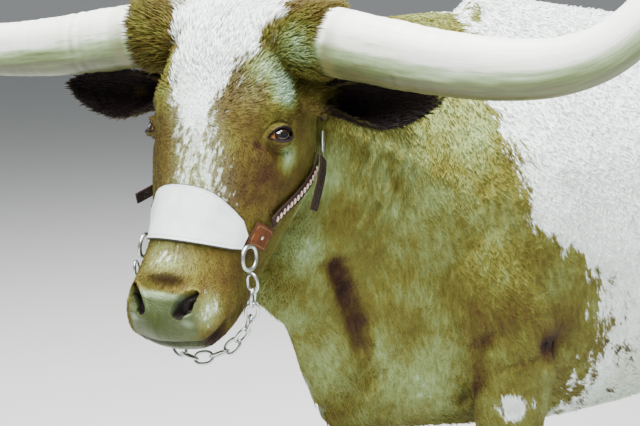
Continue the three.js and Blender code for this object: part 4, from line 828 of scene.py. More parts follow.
def coatTree():  # tufts grown on a skin, each turned and scaled by the fields at its root
    tree = bpy.data.node_groups.new("coatOfTufts", "GeometryNodeTree")
    sockets = [("Ground", "Geometry"), ("Tuft", "Object"), ("Density", "Float"), ("Width", "Float"), ("Lift", "Float"),
               ("Spread", "Float"), ("Seed", "Int"), ("Finish", "Material")]
    for name, kind in sockets:
        tree.interface.new_socket(name, in_out="INPUT", socket_type=f"NodeSocket{kind}")
    tree.interface.new_socket("Coat", in_out="OUTPUT", socket_type="NodeSocketGeometry")
    grow = Nodes(tree)
    entry = tree.nodes.new("NodeGroupInput")
    given = {socket.name: Wire(grow, socket) for socket in entry.outputs}

    def field(name, kind="FLOAT_VECTOR"):
        return grow.node("GeometryNodeInputNamedAttribute", {"data_type": kind}, name)

    def draw(low, high, seed, kind="FLOAT"):
        return grow.node("FunctionNodeRandomValue", {"data_type": kind}, low, high, Seed=given["Seed"] + seed)

    spots = grow.node("GeometryNodeDistributePointsOnFaces", {}, given["Ground"],
                      Density=given["Density"] * field("thickness", "FLOAT"), Seed=given["Seed"])
    for name, value in (("rootNormal", spots.twin("Normal")),
                        ("rootPlace", grow.node("GeometryNodeInputPosition", {}))):
        spots = grow.node("GeometryNodeStoreNamedAttribute", {"data_type": "FLOAT_VECTOR", "domain": "POINT"},
                          spots, True, name, value)
    normal = field("rootNormal")
    raised = grow.node("ShaderNodeVectorMath", {"operation": "SCALE"}, normal, Scale=given["Lift"] * draw(0.4, 1.6, 3))
    loose = grow.node("ShaderNodeVectorMath", {"operation": "SCALE"},
                      draw((-1, -1, -1), (1, 1, 1), 4, "FLOAT_VECTOR"), Scale=given["Spread"])
    along = grow.vector("NORMALIZE", grow.vector("ADD", grow.vector("ADD", field("lie"), raised), loose))
    turn = grow.node("FunctionNodeAxesToRotation", {"primary_axis": "Y", "secondary_axis": "Z"}, along, normal)
    wide = given["Width"] * draw(0.7, 1.3, 5)
    long = field("hairLength", "FLOAT") * draw(0.75, 1.25, 6)
    size = grow.node("ShaderNodeCombineXYZ", {}, wide, long, wide)
    shape = grow.node("GeometryNodeObjectInfo", {}, given["Tuft"], out="Geometry")
    tufts = grow.node("GeometryNodeInstanceOnPoints", {}, spots, Instance=shape, Rotation=turn, Scale=size)
    tufts = grow.node("GeometryNodeRealizeInstances", {}, tufts)
    tufts = grow.node("GeometryNodeSetMaterial", {}, tufts, Material=given["Finish"])
    leave = tree.nodes.new("NodeGroupOutput")
    tree.links.new(tufts.socket, leave.inputs[0])
    return tree


def fillTree(piece, tree, **values):  # a Geometry Nodes modifier with its inputs, made a plain mesh
    modifier = piece.modifiers.new("growth", "NODES")
    modifier.node_group = tree
    for item in tree.interface.items_tree:
        if item.in_out == "INPUT" and item.name in values:
            modifier[item.identifier] = values[item.name]
    return settle(piece)


tuftPatch = 0.003  # width of a tuft's patch in the map


def unwrapTufts(mesh, template):  # each tuft a small patch at its root, on a box unwrap of the skin
    corner = np.empty(len(mesh.vertices) * 3, np.float32)
    mesh.attributes["rootPlace"].data.foreach_get("vector", corner)
    root = corner.reshape(-1, 3)[::len(template)].astype(float)
    mesh.attributes["rootNormal"].data.foreach_get("vector", corner)
    normal = corner.reshape(-1, 3)[::len(template)]
    axis = np.abs(normal).argmax(1)
    chart = axis * 2 + (np.take_along_axis(normal, axis[:, None], 1)[:, 0] < 0)
    uv = np.zeros((len(root), 2))
    for k in range(6):
        chosen = chart == k
        if not chosen.any():
            continue
        flat = np.delete(root[chosen], k // 2, 1)
        flat = (flat - flat.min(0)) / max(1e-6, (flat.max(0) - flat.min(0)).max())
        uv[chosen] = (np.array((k % 3, k // 3)) + 0.02 + flat * 0.95) / (3, 2)
    patch = np.array([(x + 0.5, y) for x, y, _ in template]) * tuftPatch
    whole = (uv[:, None] + patch[None]).reshape(-1, 2)
    corners = np.empty(len(mesh.loops), np.int32)
    mesh.loops.foreach_get("vertex_index", corners)
    layer = mesh.uv_layers.new(name="OFBake")
    layer.data.foreach_set("uv", whole[corners].astype(np.float32).ravel())
    for name in ("rootPlace", "rootNormal", "lie", "hairLength", "thickness"):
        found = mesh.attributes.get(name)
        if found:
            mesh.attributes.remove(found)


fur = Finish("fur")
colour, hairs, _ = hairColours(fur)
# Near black where "dark" is set: the ears and lids, and painted shade in the nostrils and the mouth.
colour = fur.blend(fur.field("dark"), colour, (0.012, 0.006, 0.005))
furFinish = fur.surface(BaseColor=colour, Roughness=0.62 + hairs * 0.1, SpecularIORLevel=0.22)

points, normals = pointsOf(skin.data), normalsOf(skin.data)
lie = lieOfHair(points, normals)
length, growing, ears, crown, boss, tail, fetlock = coatFields(points, normals)
p, flat = inBody(points), headness(points)
rear = ease(p[:, 1], -230, -190)
leg = p[:, 2] < 640
longer = np.clip(crown + boss + (length > 14) * (1 - flat), 0, 1) * (1 - ears)
coats = [  # each is one piece: where it grows, how many tufts, their width in millimetres, lift and spread
    {"name": "coat_face", "on": flat * (1 - ears) * (1 - 0.6 * longer), "count": 47000, "width": 1.3, "lift": 0.16,
     "spread": 0.14, "tuft": "short"},
    {"name": "coat_crown", "on": flat * longer, "count": 19000, "width": 2.1, "lift": 0.26, "spread": 0.2,
     "tuft": "long"},
    {"name": "coat_ears", "on": ears, "count": 6000, "width": 1.9, "lift": 0.2, "spread": 0.2, "tuft": "long"},
    {"name": "coat_left_front", "on": (1 - flat) * (p[:, 0] > 0) * (1 - rear) * (1 - leg), "count": 48000, "width": 2.0,
     "lift": 0.1, "spread": 0.12, "tuft": "short"},
    {"name": "coat_right_front", "on": (1 - flat) * (p[:, 0] <= 0) * (1 - rear) * (1 - leg), "count": 33000,
     "width": 2.5, "lift": 0.1, "spread": 0.12, "tuft": "short"},
    {"name": "coat_left_rear", "on": (p[:, 0] > 0) * rear * (1 - leg) * (1 - tail), "count": 33000, "width": 2.6,
     "lift": 0.1, "spread": 0.12, "tuft": "short"},
    {"name": "coat_right_rear", "on": (p[:, 0] <= 0) * rear * (1 - leg) * (1 - tail), "count": 33000, "width": 2.6,
     "lift": 0.1, "spread": 0.12, "tuft": "short"},
    {"name": "coat_legs", "on": leg * (1 + 2 * (p[:, 2] < 220)), "count": 38000, "width": 1.8, "lift": 0.12,
     "spread": 0.12, "tuft": "short"},
    {"name": "coat_breast", "on": longer * (1 - flat) * (1 - leg) * (1 - tail), "count": 15000, "width": 2.6,
     "lift": 0.2, "spread": 0.18, "tuft": "long"},
    {"name": "coat_tail", "on": np.maximum(tail, fetlock * leg), "count": 7000, "width": 2.4, "lift": 0.22,
     "spread": 0.16, "tuft": "long"},
]
coatOfTufts, coatSeed = coatTree(), 31
corners = cornersOf(skin.data)
area = areasOf(points, corners)
for number, coat in enumerate(coats):
    thickness = coat["on"] * growing
    ground = pieceOf(coat["name"], skin.data.copy())
    setField(ground.data, "lie", lie)
    setField(ground.data, "hairLength", length / 1000)
    setField(ground.data, "thickness", thickness)
    template, faces = spikes[coat["tuft"]]
    tuft = pieceOf("tuft", meshOf("tuft", template, faces))
    total = (thickness[corners].mean(1) * area).sum()
    fillTree(ground, coatOfTufts, Tuft=tuft, Density=coat["count"] / total, Width=coat["width"] / 1000,
             Lift=coat["lift"], Spread=coat["spread"], Seed=coatSeed + number, Finish=furFinish)
    unwrapTufts(ground.data, template)
    bpy.data.objects.remove(tuft)
    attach(ground, "root")
    print(coat["name"], "has", len(ground.data.polygons), "faces")

# Horns: tubes along a curve, with growth rings near the hairline.
def curveThrough(points, count):  # evenly spaced places on a smooth line, and how far along it each is
    points = np.asarray(points, float)
    points = np.concatenate([[2 * points[0] - points[1]], points, [2 * points[-1] - points[-2]]])
    dense = []
    for p0, p1, p2, p3 in zip(points, points[1:], points[2:], points[3:]):
        t1 = np.linalg.norm(p1 - p0) ** 0.5
        t2 = t1 + np.linalg.norm(p2 - p1) ** 0.5
        t3 = t2 + np.linalg.norm(p3 - p2) ** 0.5
        t = np.linspace(t1, t2, 40, endpoint=False)[:, None]
        a1 = (t1 - t) / t1 * p0 + t / t1 * p1
        a2 = (t2 - t) / (t2 - t1) * p1 + (t - t1) / (t2 - t1) * p2
        a3 = (t3 - t) / (t3 - t2) * p2 + (t - t2) / (t3 - t2) * p3
        b1, b2 = (t2 - t) / t2 * a1 + t / t2 * a2, (t3 - t) / (t3 - t1) * a2 + (t - t1) / (t3 - t1) * a3
        dense.append((t2 - t) / (t2 - t1) * b1 + (t - t1) / (t2 - t1) * b2)
    dense = np.concatenate(dense + [points[-2:-1]])
    length = np.concatenate([[0], np.cumsum(np.linalg.norm(np.diff(dense, axis=0), axis=1))])
    even = np.linspace(0, length[-1], count)
    return np.stack([np.interp(even, length, dense[:, k]) for k in range(3)], 1), even


def tubeFaces(rings, around):
    i, j = np.meshgrid(np.arange(rings - 1), np.arange(around), indexing="ij")
    a, b = i * around + j, i * around + (j + 1) % around
    quads = np.stack([a, b, b + around, a + around], -1).reshape(-1, 4)
    return np.concatenate([quads[:, [0, 1, 2]], quads[:, [0, 2, 3]]])


def capped(points, faces, rings, around, ends):  # closes a tube on the points at its two ends
    first, last, ring = len(points), len(points) + 1, np.arange(around)
    low = np.stack([ring * 0 + first, np.roll(ring, -1), ring], 1)
    top = (rings - 1) * around
    high = np.stack([ring * 0 + last, top + ring, top + np.roll(ring, -1)], 1)
    return np.concatenate([points, ends]), np.concatenate([faces, low, high])


hornPlan = {
    "line": [[140, -46, -48], [250, -67, -42], [350, -84, -37], [450, -93, -32], [530, -88, -27],
             [592, -64, -22], [640, -16, -18], [676, 60, -20], [703, 160, -30], [726, 270, -48], [748, 392, -66]],
    "radius": 53, "tip": 5, "rings": 260, "around": 44, "hairline": 26, "rootShare": 0.9, "ringPitch": 9,
    "ringDepth": 0.55, "grainPace": 0.16}


def makeHorn(side, sign):
    rng = np.random.default_rng(5 + sign)
    line, length = curveThrough([(sign * x, up, front) for x, up, front in hornPlan["line"]], hornPlan["rings"])
    share = length / length[-1]
    radius = hornPlan["radius"] + (hornPlan["tip"] - hornPlan["radius"]) * share ** 1.75
    radius *= 1 - 0.04 * np.sin(math.pi * share)
    hairline, around, ringPitch = hornPlan["hairline"], hornPlan["around"], hornPlan["ringPitch"]
    radius *= hornPlan["rootShare"] + (1 - hornPlan["rootShare"]) * ease(length, hairline - 12, hairline + 4)
    rings = np.interp(length, np.arange(0, length[-1] + ringPitch, ringPitch),
                      rng.normal(0, 1, int(length[-1] / ringPitch) + 2))
    radius += rings * hornPlan["ringDepth"] * (1 - ease(share, 0.1, 0.45)) * ease(length, hairline, hairline + 20)
    radius[-6:] *= np.sqrt(1 - np.linspace(0, 0.97, 6) ** 2)
    along = unit(np.gradient(line, axis=0))
    out = np.array((0.0, 0.0, 1.0))
    points, grain = [], []
    angle = np.arange(around) / around * 2 * math.pi
    for i in range(len(line)):
        out = unit(out - along[i] * (out @ along[i]))
        wide = np.cross(along[i], out)
        flutes = 1 + 0.006 * np.sin(7 * angle + 1.3 * math.sin(length[i] / 90)) + 0.004 * np.sin(13 * angle + 2)
        spokes = np.cos(angle)[:, None] * out + np.sin(angle)[:, None] * wide
        points.append(line[i] + spokes * (radius[i] * flutes)[:, None])
        grain.append(np.stack([np.cos(angle) * hornPlan["radius"], np.sin(angle) * hornPlan["radius"],
                               np.full(around, hornPlan["grainPace"] * length[i])], 1))
    ends = [line[0], line[-1] + along[-1] * 2]
    faces = tubeFaces(len(line), around)
    points, faces = capped(onHead(np.concatenate(points)), faces, len(line), around, onHead(ends))
    mesh = meshOf(f"horn_{side}_keratin", points, faces)
    piece = pieceOf(f"horn_{side}_keratin", mesh)
    faceOut(mesh)
    grain = np.concatenate(grain + [np.zeros((1, 3)), [[0, 0, hornPlan["grainPace"] * length[-1]]]])
    setField(mesh, "grain", grain / 1000)
    setField(mesh, "share", np.concatenate([np.repeat(share, around), [0, 1]]))
    setField(mesh, "fromHair", np.concatenate([np.repeat(length - hairline, around), [0, 999]]))
    # How far each place faces down: the horn darkens towards its underside, partly its own colour and partly painted
    # shade.
    setField(mesh, "under", ease(-normalsOf(mesh)[:, 2], -0.75, 0.95))
    return piece


def faceOut(mesh):  # turns its faces outwards
    work = bmesh.new()
    work.from_mesh(mesh)
    bmesh.ops.recalc_face_normals(work, faces=work.faces)
    work.to_mesh(mesh)
    work.free()
    mesh.shade_smooth()


horn = Finish("hornKeratin")
grain = horn.field("grain", "Vector")
streak = horn.noise(grain, 85.0, 4, 0.6)
broad = horn.noise(grain, 22.0, 3)
crack = horn.noise(horn.scaled(grain, (1, 1, 0.35)), 240.0, 3)
share, fromHair, under = horn.field("share"), horn.field("fromHair"), horn.field("under")
# Darker and greener towards the underside, partly the horn's own colour and partly painted shade; the underside also
# deepens the cracks and the band by the hairline.
low = under * 1.15 + (streak - 0.5) * 0.7 + (broad - 0.5) * 0.6
cream = horn.blend(horn.ramp(streak, 0.45, 0.75) * 0.5, (0.90, 0.92, 0.83), (0.70, 0.74, 0.56))
cream = horn.blend(horn.ramp(low, 0.30, 0.66), cream, (0.38, 0.50, 0.28))
cream = horn.blend(horn.ramp(low, 0.55, 1.0), cream, (0.12, 0.165, 0.042))
cream = horn.blend(horn.ramp(low, 0.88, 1.22) * 0.8, cream, (0.055, 0.050, 0.016))
cream = horn.blend(horn.ramp(crack + under * 0.12, 0.66, 0.80) * 0.6, cream, (0.14, 0.10, 0.035))
band = (horn.ramp(fromHair + (broad - 0.5) * 24, 18.0, 26.0)
        * (1 - horn.ramp(fromHair + (streak - 0.5) * 30, 28.0, 50.0)))
cream = horn.blend(band * (0.25 + under * 0.6), cream, (0.15, 0.14, 0.045))
cream = horn.blend(horn.ramp(share + (broad - 0.5) * 0.12, 0.86, 0.97), cream, (0.045, 0.035, 0.025))
hornFinish = horn.surface(
    BaseColor=cream, Roughness=0.34 + crack * 0.2, CoatWeight=0.15, CoatRoughness=0.25,
    Normal=horn.bump(streak * 0.6 + crack * 0.4, 0.0016, 0.6))
for side, sign in sides.items():
    piece = makeHorn(side, sign)
    piece.data.materials.append(hornFinish)
    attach(piece, "root")
    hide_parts(f"horn_{side}")
print("horns made")

# Eyes: a ball behind the lids, with its own long and tall axes.
ball = {"rings": 40, "around": 56, "cornea": 1.1}


def makeEye(side, sign):
    centre, out, long, tall = eyeFrame(sign)
    polar, angle = np.meshgrid(np.linspace(0.02, math.pi - 0.02, ball["rings"]),
                               np.arange(ball["around"]) / ball["around"] * 2 * math.pi, indexing="ij")
    radius = eye["radius"] + ball["cornea"] * (1 - ease(polar, 0.25, 0.75))
    local = np.stack([radius * np.sin(polar) * np.cos(angle), radius * np.sin(polar) * np.sin(angle),
                      radius * np.cos(polar)], -1).reshape(-1, 3)
    ends = [(0, 0, radius[0, 0]), (0, 0, -radius[-1, 0])]
    local, faces = capped(local, tubeFaces(ball["rings"], ball["around"]), ball["rings"], ball["around"], ends)
    mesh = meshOf(f"eye_{side}_ball", onHead(centre + local @ np.stack([long, tall, out])), faces)
    piece = pieceOf(f"eye_{side}_ball", mesh)
    faceOut(mesh)
    setField(mesh, "eyePlace", local / eye["radius"])
    return piece


wet = Finish("wetEye")
at = wet.node("ShaderNodeSeparateXYZ", {}, wet.field("eyePlace", "Vector"))
atLong, atTall = at.twin("X"), at.twin("Y")
pupil = 1 - wet.ramp((atLong / 0.40) ** 2.0 + (atTall / 0.27) ** 2.0, 0.85, 1.1)
reach = (atLong * atLong + atTall * atTall) ** 0.5
fibres = wet.noise(wet.field("eyePlace", "Vector"), 16.0, 3)
iris = wet.blend(wet.ramp(reach + (fibres - 0.5) * 0.15, 0.30, 0.62), (0.035, 0.014, 0.006), (0.012, 0.006, 0.005))
corner = wet.blend(fibres, (0.30, 0.11, 0.02), (0.44, 0.20, 0.05))
white = wet.blend(wet.ramp(0 - atLong, 0.38, 0.56), (0.10, 0.06, 0.04), corner)
tint = wet.blend(wet.ramp(reach + atLong * 0.12, 0.60, 0.68), iris, white)
tint = wet.blend(pupil, tint, (0.003, 0.003, 0.004))
wetFinish = wet.surface(BaseColor=tint, Roughness=0.07, CoatWeight=1.0, CoatRoughness=0.02)
for side, sign in sides.items():
    piece = makeEye(side, sign)
    piece.data.materials.append(wetFinish)
    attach(piece, "root")
    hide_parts(f"eye_{side}")
print("eyes made")

# Hooves: each claw remeshed from its solid.
hoofPlan = {"voxel": 0.0024, "softening": 6, "triangles": 5200}
hoof = Finish("hoofHorn")
spot = hoof.here()
rings = hoof.noise(hoof.scaled(spot, (4, 4, 150)), 1.0, 3)
streak = hoof.noise(hoof.scaled(spot, (160, 160, 14)), 1.0, 3)
tint = hoof.blend(streak, (0.045, 0.032, 0.022), (0.16, 0.115, 0.07))
tint = hoof.blend(hoof.ramp(rings, 0.5, 0.75) * 0.6, tint, (0.22, 0.17, 0.11))
hoofFinish = hoof.surface(BaseColor=tint, Roughness=0.5 + streak * 0.2,
                          Normal=hoof.bump(rings + streak * 0.4, 0.002, 0.6))
hooves = [name for name in cad if name.startswith("hoof_")]
for name in hooves:
    piece = joined(f"{name}_claw", [name])
    modify(piece, "REMESH", mode="VOXEL", voxel_size=hoofPlan["voxel"])
    soften(piece.data, hoofPlan["softening"])
    modify(piece, "DECIMATE", ratio=hoofPlan["triangles"] / max(1, 2 * len(piece.data.vertices)))
    piece.data.shade_smooth()
    piece.data.materials.append(hoofFinish)
    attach(piece, "root")
    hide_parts(name)
print("hooves made:", len(hooves))

# Halter: leather with its edges rounded and stitched, and steel.
sharp = {"angle": 0.7, "step": 1.5}  # in radians, and millimetres


def edgePlaces(nodes):  # places along the sharp edges of solids, in millimetres
    places = []
    for node in nodes:
        work = bmesh.new()
        work.from_mesh(cad[node].data)
        bmesh.ops.remove_doubles(work, verts=work.verts, dist=1e-6)
        for edge in work.edges:
            if len(edge.link_faces) == 2 and edge.calc_face_angle() > sharp["angle"]:
                a, b = [np.array(v.co) * 1000 for v in edge.verts]
                count = max(2, int(np.linalg.norm(b - a) / sharp["step"]))
                places.append(a + (b - a) * np.linspace(0, 1, count)[:, None])
        work.free()
    return np.concatenate(places)


noseAxis = {"behind": 110, "radius": 125}  # the run of the noseband is measured round this line


def principal(points):  # the middle, and the longest, the next and the shortest way through it
    middle = (points.min(0) + points.max(0)) / 2
    _, _, axes = np.linalg.svd(points - points.mean(0), full_matrices=False)
    return middle, *axes


def strapPiece(name, nodes, triangles, voxel, rounds):  # rim is the way to its nearest edge, run the way along it
    piece = joined(name, nodes)
    modify(piece, "REMESH", mode="VOXEL", voxel_size=voxel)
    soften(piece.data, rounds)
    modify(piece, "DECIMATE", ratio=min(1, triangles / max(1, 2 * len(piece.data.vertices))))
    mesh = piece.data
    places = edgePlaces(nodes)
    tree = KDTree(len(places))
    for i, spot in enumerate(places):
        tree.insert(spot, i)
    tree.balance()
    points = pointsOf(mesh) * 1000
    setField(mesh, "rim", np.array([tree.find(spot)[2] for spot in points]))
    _, along, _, _ = principal(points)
    h = inHead(pointsOf(mesh))
    around = np.arctan2(h[:, 0], h[:, 2] + noseAxis["behind"]) * noseAxis["radius"]
    setField(mesh, "run", around if "noseband" in name else (points - points.mean(0)) @ along)
    mesh.shade_smooth()
    return piece


stitching = {"fromEdge": 5.0, "pitch": 4.6}  # in millimetres


def leather(name, deep, light, thread, edge):
    strap = Finish(name)
    rim, run, spot = strap.field("rim"), strap.field("run"), strap.here()
    pores = strap.node("ShaderNodeTexVoronoi", {"feature": "DISTANCE_TO_EDGE"}, Vector=spot, Scale=620.0)
    cloudy, scuffs = strap.noise(spot, 38.0, 4), strap.noise(strap.scaled(spot, (1, 1, 3)), 260.0, 4, 0.7)
    tint = strap.blend(strap.ramp(cloudy, 0.3, 0.7), deep, light)
    tint = strap.blend(strap.ramp(scuffs, 0.6, 0.75) * 0.35, tint, tuple(c * 0.55 for c in deep))
    tint = strap.blend(1 - strap.ramp(rim, 1.0, 2.2), tint, edge)
    beat = (run / stitching["pitch"]).fraction()
    offRow = (rim - stitching["fromEdge"]).absolute()
    stitch = (1 - strap.ramp(offRow, 0.45, 0.8)) * strap.ramp(beat, 0.12, 0.2) * (1 - strap.ramp(beat, 0.72, 0.8))
    tint = strap.blend(stitch, tint, thread)
    channel = 1 - strap.ramp(offRow, 0.8, 1.6)
    height = strap.ramp(pores, 0.0, 0.2) * 0.25 + scuffs * 0.2 - channel * 0.8 + stitch * 1.2
    return strap.surface(BaseColor=tint, Roughness=0.48 + scuffs * 0.25, SpecularIORLevel=0.22,
                         Normal=strap.bump(height, 0.0009, 0.8))


whiteLeather = leather("whiteLeather", (0.78, 0.86, 0.84), (0.90, 0.95, 0.94), (0.93, 0.95, 0.92),
                       (0.022, 0.018, 0.018))
tabLeather = leather("tabLeather", (0.075, 0.019, 0.004), (0.15, 0.042, 0.008), (0.36, 0.22, 0.09),
                     (0.05, 0.018, 0.010))
darkLeather = leather("darkLeather", (0.007, 0.004, 0.0035), (0.022, 0.011, 0.008), (0.06, 0.04, 0.03),
                      (0.035, 0.016, 0.010))

steel = Finish("chromedSteel")
spot = steel.here()
scratches, smears = steel.noise(steel.scaled(spot, (1, 1, 9)), 190.0, 4, 0.7), steel.noise(spot, 60.0, 3)
steelFinish = steel.surface(
    BaseColor=steel.blend(steel.ramp(smears, 0.55, 0.8), (0.56, 0.60, 0.58), (0.30, 0.30, 0.27)), Metallic=1.0,
    Roughness=0.2 + scratches * 0.22, Normal=steel.bump(scratches, 0.0004, 0.4))

for name, nodes, triangles, finish, slot in (
        ("halter_noseband", ["noseband"], 26000, whiteLeather, "pale_leather"),
        ("halter_tab_left", ["noseband_tab_left"], 6000, tabLeather, "tab_leather"),
        ("halter_tab_right", ["noseband_tab_right"], 6000, tabLeather, "tab_leather"),
        ("halter_cheek_left", ["cheek_strap_left"], 12000, darkLeather, "strap_leather"),
        ("halter_cheek_right", ["cheek_strap_right"], 12000, darkLeather, "strap_leather"),
        ("halter_end_left", ["strap_end_left"], 5000, darkLeather, "strap_leather"),
        ("halter_end_right", ["strap_end_right"], 5000, darkLeather, "strap_leather"),
        ("halter_crown", ["crown_strap"], 16000, darkLeather, "strap_leather"),
        ("halter_buckle_left", ["buckle_left"], 8000, steelFinish, "steel"),
        ("halter_buckle_right", ["buckle_right"], 8000, steelFinish, "steel")):
    voxel, rounds = (0.0008, 4) if slot == "steel" else (0.0011, 6)
    piece = strapPiece(name, nodes, triangles, voxel, rounds)
    piece.data.materials.append(finish)
    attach(piece, "root")
    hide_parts(*nodes)
print("straps made")


def rowTree():  # the same shape at each point, turned by the point's own two directions
    tree = bpy.data.node_groups.new("shapesInARow", "GeometryNodeTree")
    for name, kind in (("Places", "Geometry"), ("Shape", "Object"), ("Size", "Float"), ("Turn", "Float"),
                       ("Finish", "Material")):
        tree.interface.new_socket(name, in_out="INPUT", socket_type=f"NodeSocket{kind}")
    tree.interface.new_socket("Row", in_out="OUTPUT", socket_type="NodeSocketGeometry")
    make = Nodes(tree)
    given = {socket.name: Wire(make, socket) for socket in tree.nodes.new("NodeGroupInput").outputs}
    along, outward = [make.node("GeometryNodeInputNamedAttribute", {"data_type": "FLOAT_VECTOR"}, name)
                      for name in ("along", "outward")]
    turn = make.node("FunctionNodeAxesToRotation", {"primary_axis": "X", "secondary_axis": "Z"}, along, outward)
    shape = make.node("GeometryNodeObjectInfo", {}, given["Shape"], out="Geometry")
    size = make.node("ShaderNodeCombineXYZ", {}, given["Size"], given["Size"], given["Size"])
    row = make.node("GeometryNodeInstanceOnPoints", {}, given["Places"], Instance=shape, Rotation=turn, Scale=size)
    lean = make.node("ShaderNodeCombineXYZ", {}, 0.0, 0.0, given["Turn"])
    row = make.node("GeometryNodeRotateInstances", {}, row, Rotation=lean)
    row = make.node("GeometryNodeRealizeInstances", {}, row)
    row = make.node("GeometryNodeSetMaterial", {}, row, Material=given["Finish"])
    tree.links.new(row.socket, tree.nodes.new("NodeGroupOutput").inputs[0])
    return tree


shapesInARow = rowTree()


def rowPiece(name, points, along, outward, shape, finish, turn=0.0):  # shape in millimetres
    mesh = bpy.data.meshes.new(name)
    mesh.from_pydata((np.asarray(points) / 1000).tolist(), [], [])
    setField(mesh, "along", np.asarray(along, float))
    setField(mesh, "outward", np.asarray(outward, float))
    piece, pattern = pieceOf(name, mesh), pieceOf("pattern", shape)
    fillTree(piece, shapesInARow, Shape=pattern, Size=0.001, Turn=turn, Finish=finish)
    bpy.data.objects.remove(pattern)
    piece.data.shade_smooth()
    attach(piece, "root")
    return piece


def loopShape(halfLong, halfWide, wire, steps, around):  # a closed link round an oval
    t = np.arange(steps) / steps * 2 * math.pi
    ovalX = np.sign(np.cos(t)) * np.abs(np.cos(t)) ** 0.8 * halfLong
    line = np.stack([ovalX, np.sin(t) * halfWide, t * 0], 1)
    along = unit(np.roll(line, -1, 0) - np.roll(line, 1, 0))
    out = np.cross(along, (0, 0, 1))
    angle = np.arange(around) / around * 2 * math.pi
    points = (line[:, None] + out[:, None] * (np.cos(angle) * wire)[None, :, None]
              + np.array((0, 0, 1)) * (np.sin(angle) * wire)[None, :, None])
    i, j = np.meshgrid(np.arange(steps), np.arange(around), indexing="ij")
    here, onward, turned = i * around, (i + 1) % steps * around, (j + 1) % around
    quads = np.stack([here + j, here + turned, onward + turned, onward + j], -1).reshape(-1, 4)
    mesh = meshOf("loop", points.reshape(-1, 3), quads)
    faceOut(mesh)
    return mesh


def beadShape(halfLong, halfWide, tall, steps=8, rings=5):  # a lentil of leather or a rivet's head
    polar = np.linspace(0.001, math.pi - 0.001, rings + 2)[1:-1]
    angle = np.arange(steps) / steps * 2 * math.pi
    points = [(math.sin(a) * math.cos(b) * halfLong, math.sin(a) * math.sin(b) * halfWide, math.cos(a) * tall)
              for a in polar for b in angle]
    points, faces = capped(np.array(points), tubeFaces(rings, steps), rings, steps, [(0, 0, tall), (0, 0, -tall)])
    mesh = meshOf("bead", points, faces)
    faceOut(mesh)
    return mesh


# Rings where their solids are, and the chain that hangs under the chin from one to the other.
chain = {"line": [[104, -424, -74], [103, -446, -90], [96, -474, -114], [78, -502, -140], [46, -536, -150],
                  [0, -554, -142]], "pitch": 25.5, "radius": 11, "wire": 2.6, "stretch": 1.35, "turn": 0.4}
ringPlan = {"radius": 18, "wire": 3.4}
for side in sides:
    middle, along, _, outward = principal(pointsOf(cad[f"halter_ring_{side}"].data) * 1000)
    piece = rowPiece(f"halter_ring_{side}_wire", [middle], [along], [outward],
                     loopShape(ringPlan["radius"], ringPlan["radius"], ringPlan["wire"], 48, 14), steelFinish)
    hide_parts(f"halter_ring_{side}")
half = [(x, up, front) for x, up, front in chain["line"]]
drape, _ = curveThrough(inBody(onHead(half + [(-x, up, front) for x, up, front in half[-2::-1]])), 800)
length = np.linalg.norm(np.diff(drape, axis=0), axis=1).sum()
count = round(length / chain["pitch"])
spots, _ = curveThrough(drape[::8], 2 * count + 1)
spots, ways = spots[1::2] + shift, unit(np.gradient(spots, axis=0)[1::2])
across = unit(np.cross(ways, np.cross(ways, (0, 0, 1.0))))
quarter = (np.arange(count) % 2 * math.pi / 2 + chain["turn"])[:, None]
outs = across * np.cos(quarter) + np.cross(ways, across) * np.sin(quarter)
piece = rowPiece("chin_chain_links", spots, ways, outs,
                 loopShape(chain["radius"] * chain["stretch"], chain["radius"] * 0.86, chain["wire"], 28, 8),
                 steelFinish)
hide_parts("chin_chain")
print("rings and chain made:", count, "links")

# Lacing twisted along the cheek straps, and the rivets of the tabs.
lacing = {"pitch": 8.8, "long": 5.4, "wide": 1.8, "tall": 2.6, "lean": 0.45}
rivet = {"radius": 5.2, "tall": 3.0, "out": 2.2}
lace = Finish("twistedLace")
spot = lace.here()
fibre = lace.noise(spot, 420.0, 3)
laceFinish = lace.surface(BaseColor=lace.blend(lace.ramp(fibre, 0.35, 0.7), (0.50, 0.25, 0.20), (0.80, 0.70, 0.62)),
                          Roughness=0.55, Normal=lace.bump(fibre, 0.0006, 0.6))
for side, sign in sides.items():
    mesh = cad[f"cheek_strap_{side}"].data
    points = pointsOf(mesh) * 1000
    middle, along, _, _ = principal(points)
    along = along if along[2] > 0 else -along
    tree = BVHTree.FromPolygons(points.tolist(), [tuple(f.vertices) for f in mesh.polygons])
    share = (points - middle) @ along
    line = []
    for mark in np.linspace(share.min() + 8, share.max() - 14, 40):
        around = np.abs(share - mark) < 14
        line.append(points[around].mean(0) if around.any() else middle + along * mark)
    line = np.array([np.mean(line[max(0, i - 2):i + 3], axis=0) for i in range(len(line))])
    even, _ = curveThrough(line[::4], int(np.linalg.norm(np.diff(line, axis=0), axis=1).sum() / lacing["pitch"]))
    outwards = unit(headLeft * sign + headFront * 0.25)
    spots, alongs, outs = [], [], []
    for here, way in zip(even, unit(np.gradient(even, axis=0))):
        hit = tree.ray_cast(Vector(here + outwards * 60), Vector(-outwards))
        if hit[0] is None:
            continue
        spots.append(np.array(hit[0]) + np.array(hit[1]) * 1.0)
        alongs.append(way)
        outs.append(np.array(hit[1]))
    rowPiece(f"halter_lacing_{side}", spots, alongs, outs,
             beadShape(lacing["long"], lacing["wide"], lacing["tall"]), laceFinish,
             sign * (math.pi / 2 - lacing["lean"]))
    middle, along, _, outward = principal(pointsOf(cad[f"noseband_tab_{side}"].data) * 1000)
    outward = outward * np.sign(outward @ outwards)
    rowPiece(f"halter_rivet_{side}", [middle + outward * rivet["out"]], [along], [outward],
             beadShape(rivet["radius"], rivet["radius"], rivet["tall"], 20, 9), steelFinish)
print("lacing and rivets made")

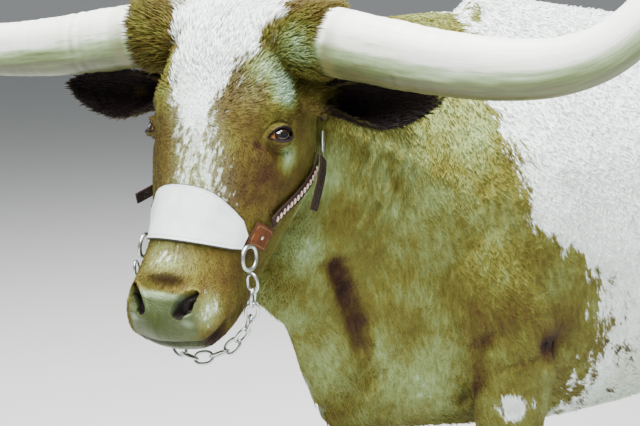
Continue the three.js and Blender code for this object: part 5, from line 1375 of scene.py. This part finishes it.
# Switch of the tail: a core of hair with long locks over it.
switchPlan = {"voxel": 0.004, "softening": 8, "triangles": 9000, "inset": 0.005, "count": 8200, "width": 2.6,
              "long": (75, 150), "lift": 0.06, "spread": 0.07, "seed": 71, "middle": 938, "end": 262}
tailHair = Finish("tailHair")
grain = tailHair.field("grain", "Vector")
strand = tailHair.noise(grain, 240.0, 3)
lock = tailHair.noise(grain, 48.0, 3)
tint = tailHair.node("ShaderNodeValToRGB", {"stops": [
    (0.0, (0.020, 0.009, 0.004)), (0.35, (0.075, 0.045, 0.014)), (0.6, (0.20, 0.16, 0.06)), (1.0, (0.52, 0.50, 0.34))]},
    strand * 0.5 + lock * 0.75 - 0.16)
tailFinish = tailHair.surface(BaseColor=tint, Roughness=0.55, SpecularIORLevel=0.3,
                              Normal=tailHair.bump(strand, 0.002, 0.7))
core = joined("switch_core", ["tail_switch"])
modify(core, "REMESH", mode="VOXEL", voxel_size=switchPlan["voxel"])
soften(core.data, switchPlan["softening"])
modify(core, "DECIMATE", ratio=min(1, switchPlan["triangles"] / (2 * len(core.data.vertices))))
modify(core, "TRIANGULATE")
setPoints(core.data, pointsOf(core.data) - normalsOf(core.data) * switchPlan["inset"])
core.data.shade_smooth()
points = pointsOf(core.data)
p = inBody(points)
middle = np.stack([0 * p[:, 2], switchPlan["middle"] - 8 * ease(-p[:, 2], -838, -330), p[:, 2]], 1)
setField(core.data, "grain", p * (1, 1, 0.10) / 1000)
ends = ease(-p[:, 2], -838, -420)
setField(core.data, "lie", unit(np.array((0, 0, -1.0)) + unit((p - middle) * (1, 1, 0)) * 0.10))
low, high = switchPlan["long"]
reachDown = np.clip(p[:, 2] - switchPlan["end"], 30, None)
setField(core.data, "hairLength", np.minimum(low + (high - low) * ease(ends, 0, 1), reachDown) / 1000)
setField(core.data, "thickness", np.ones(len(p)))
locks = pieceOf("switch_locks", core.data.copy())
core.data.materials.append(tailFinish)
template, faces = spikes["long"]
tuft = pieceOf("tuft", meshOf("tuft", template, faces))
fillTree(locks, coatOfTufts, Tuft=tuft,
         Density=switchPlan["count"] / areasOf(points, cornersOf(core.data)).sum(),
         Width=switchPlan["width"] / 1000, Lift=switchPlan["lift"], Spread=switchPlan["spread"],
         Seed=switchPlan["seed"], Finish=tailFinish)
unwrapTufts(locks.data, template)
bpy.data.objects.remove(tuft)
for piece in (core, locks):
    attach(piece, "root")
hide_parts("tail_switch")
print("tail made:", len(locks.data.polygons), "faces")

low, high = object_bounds()
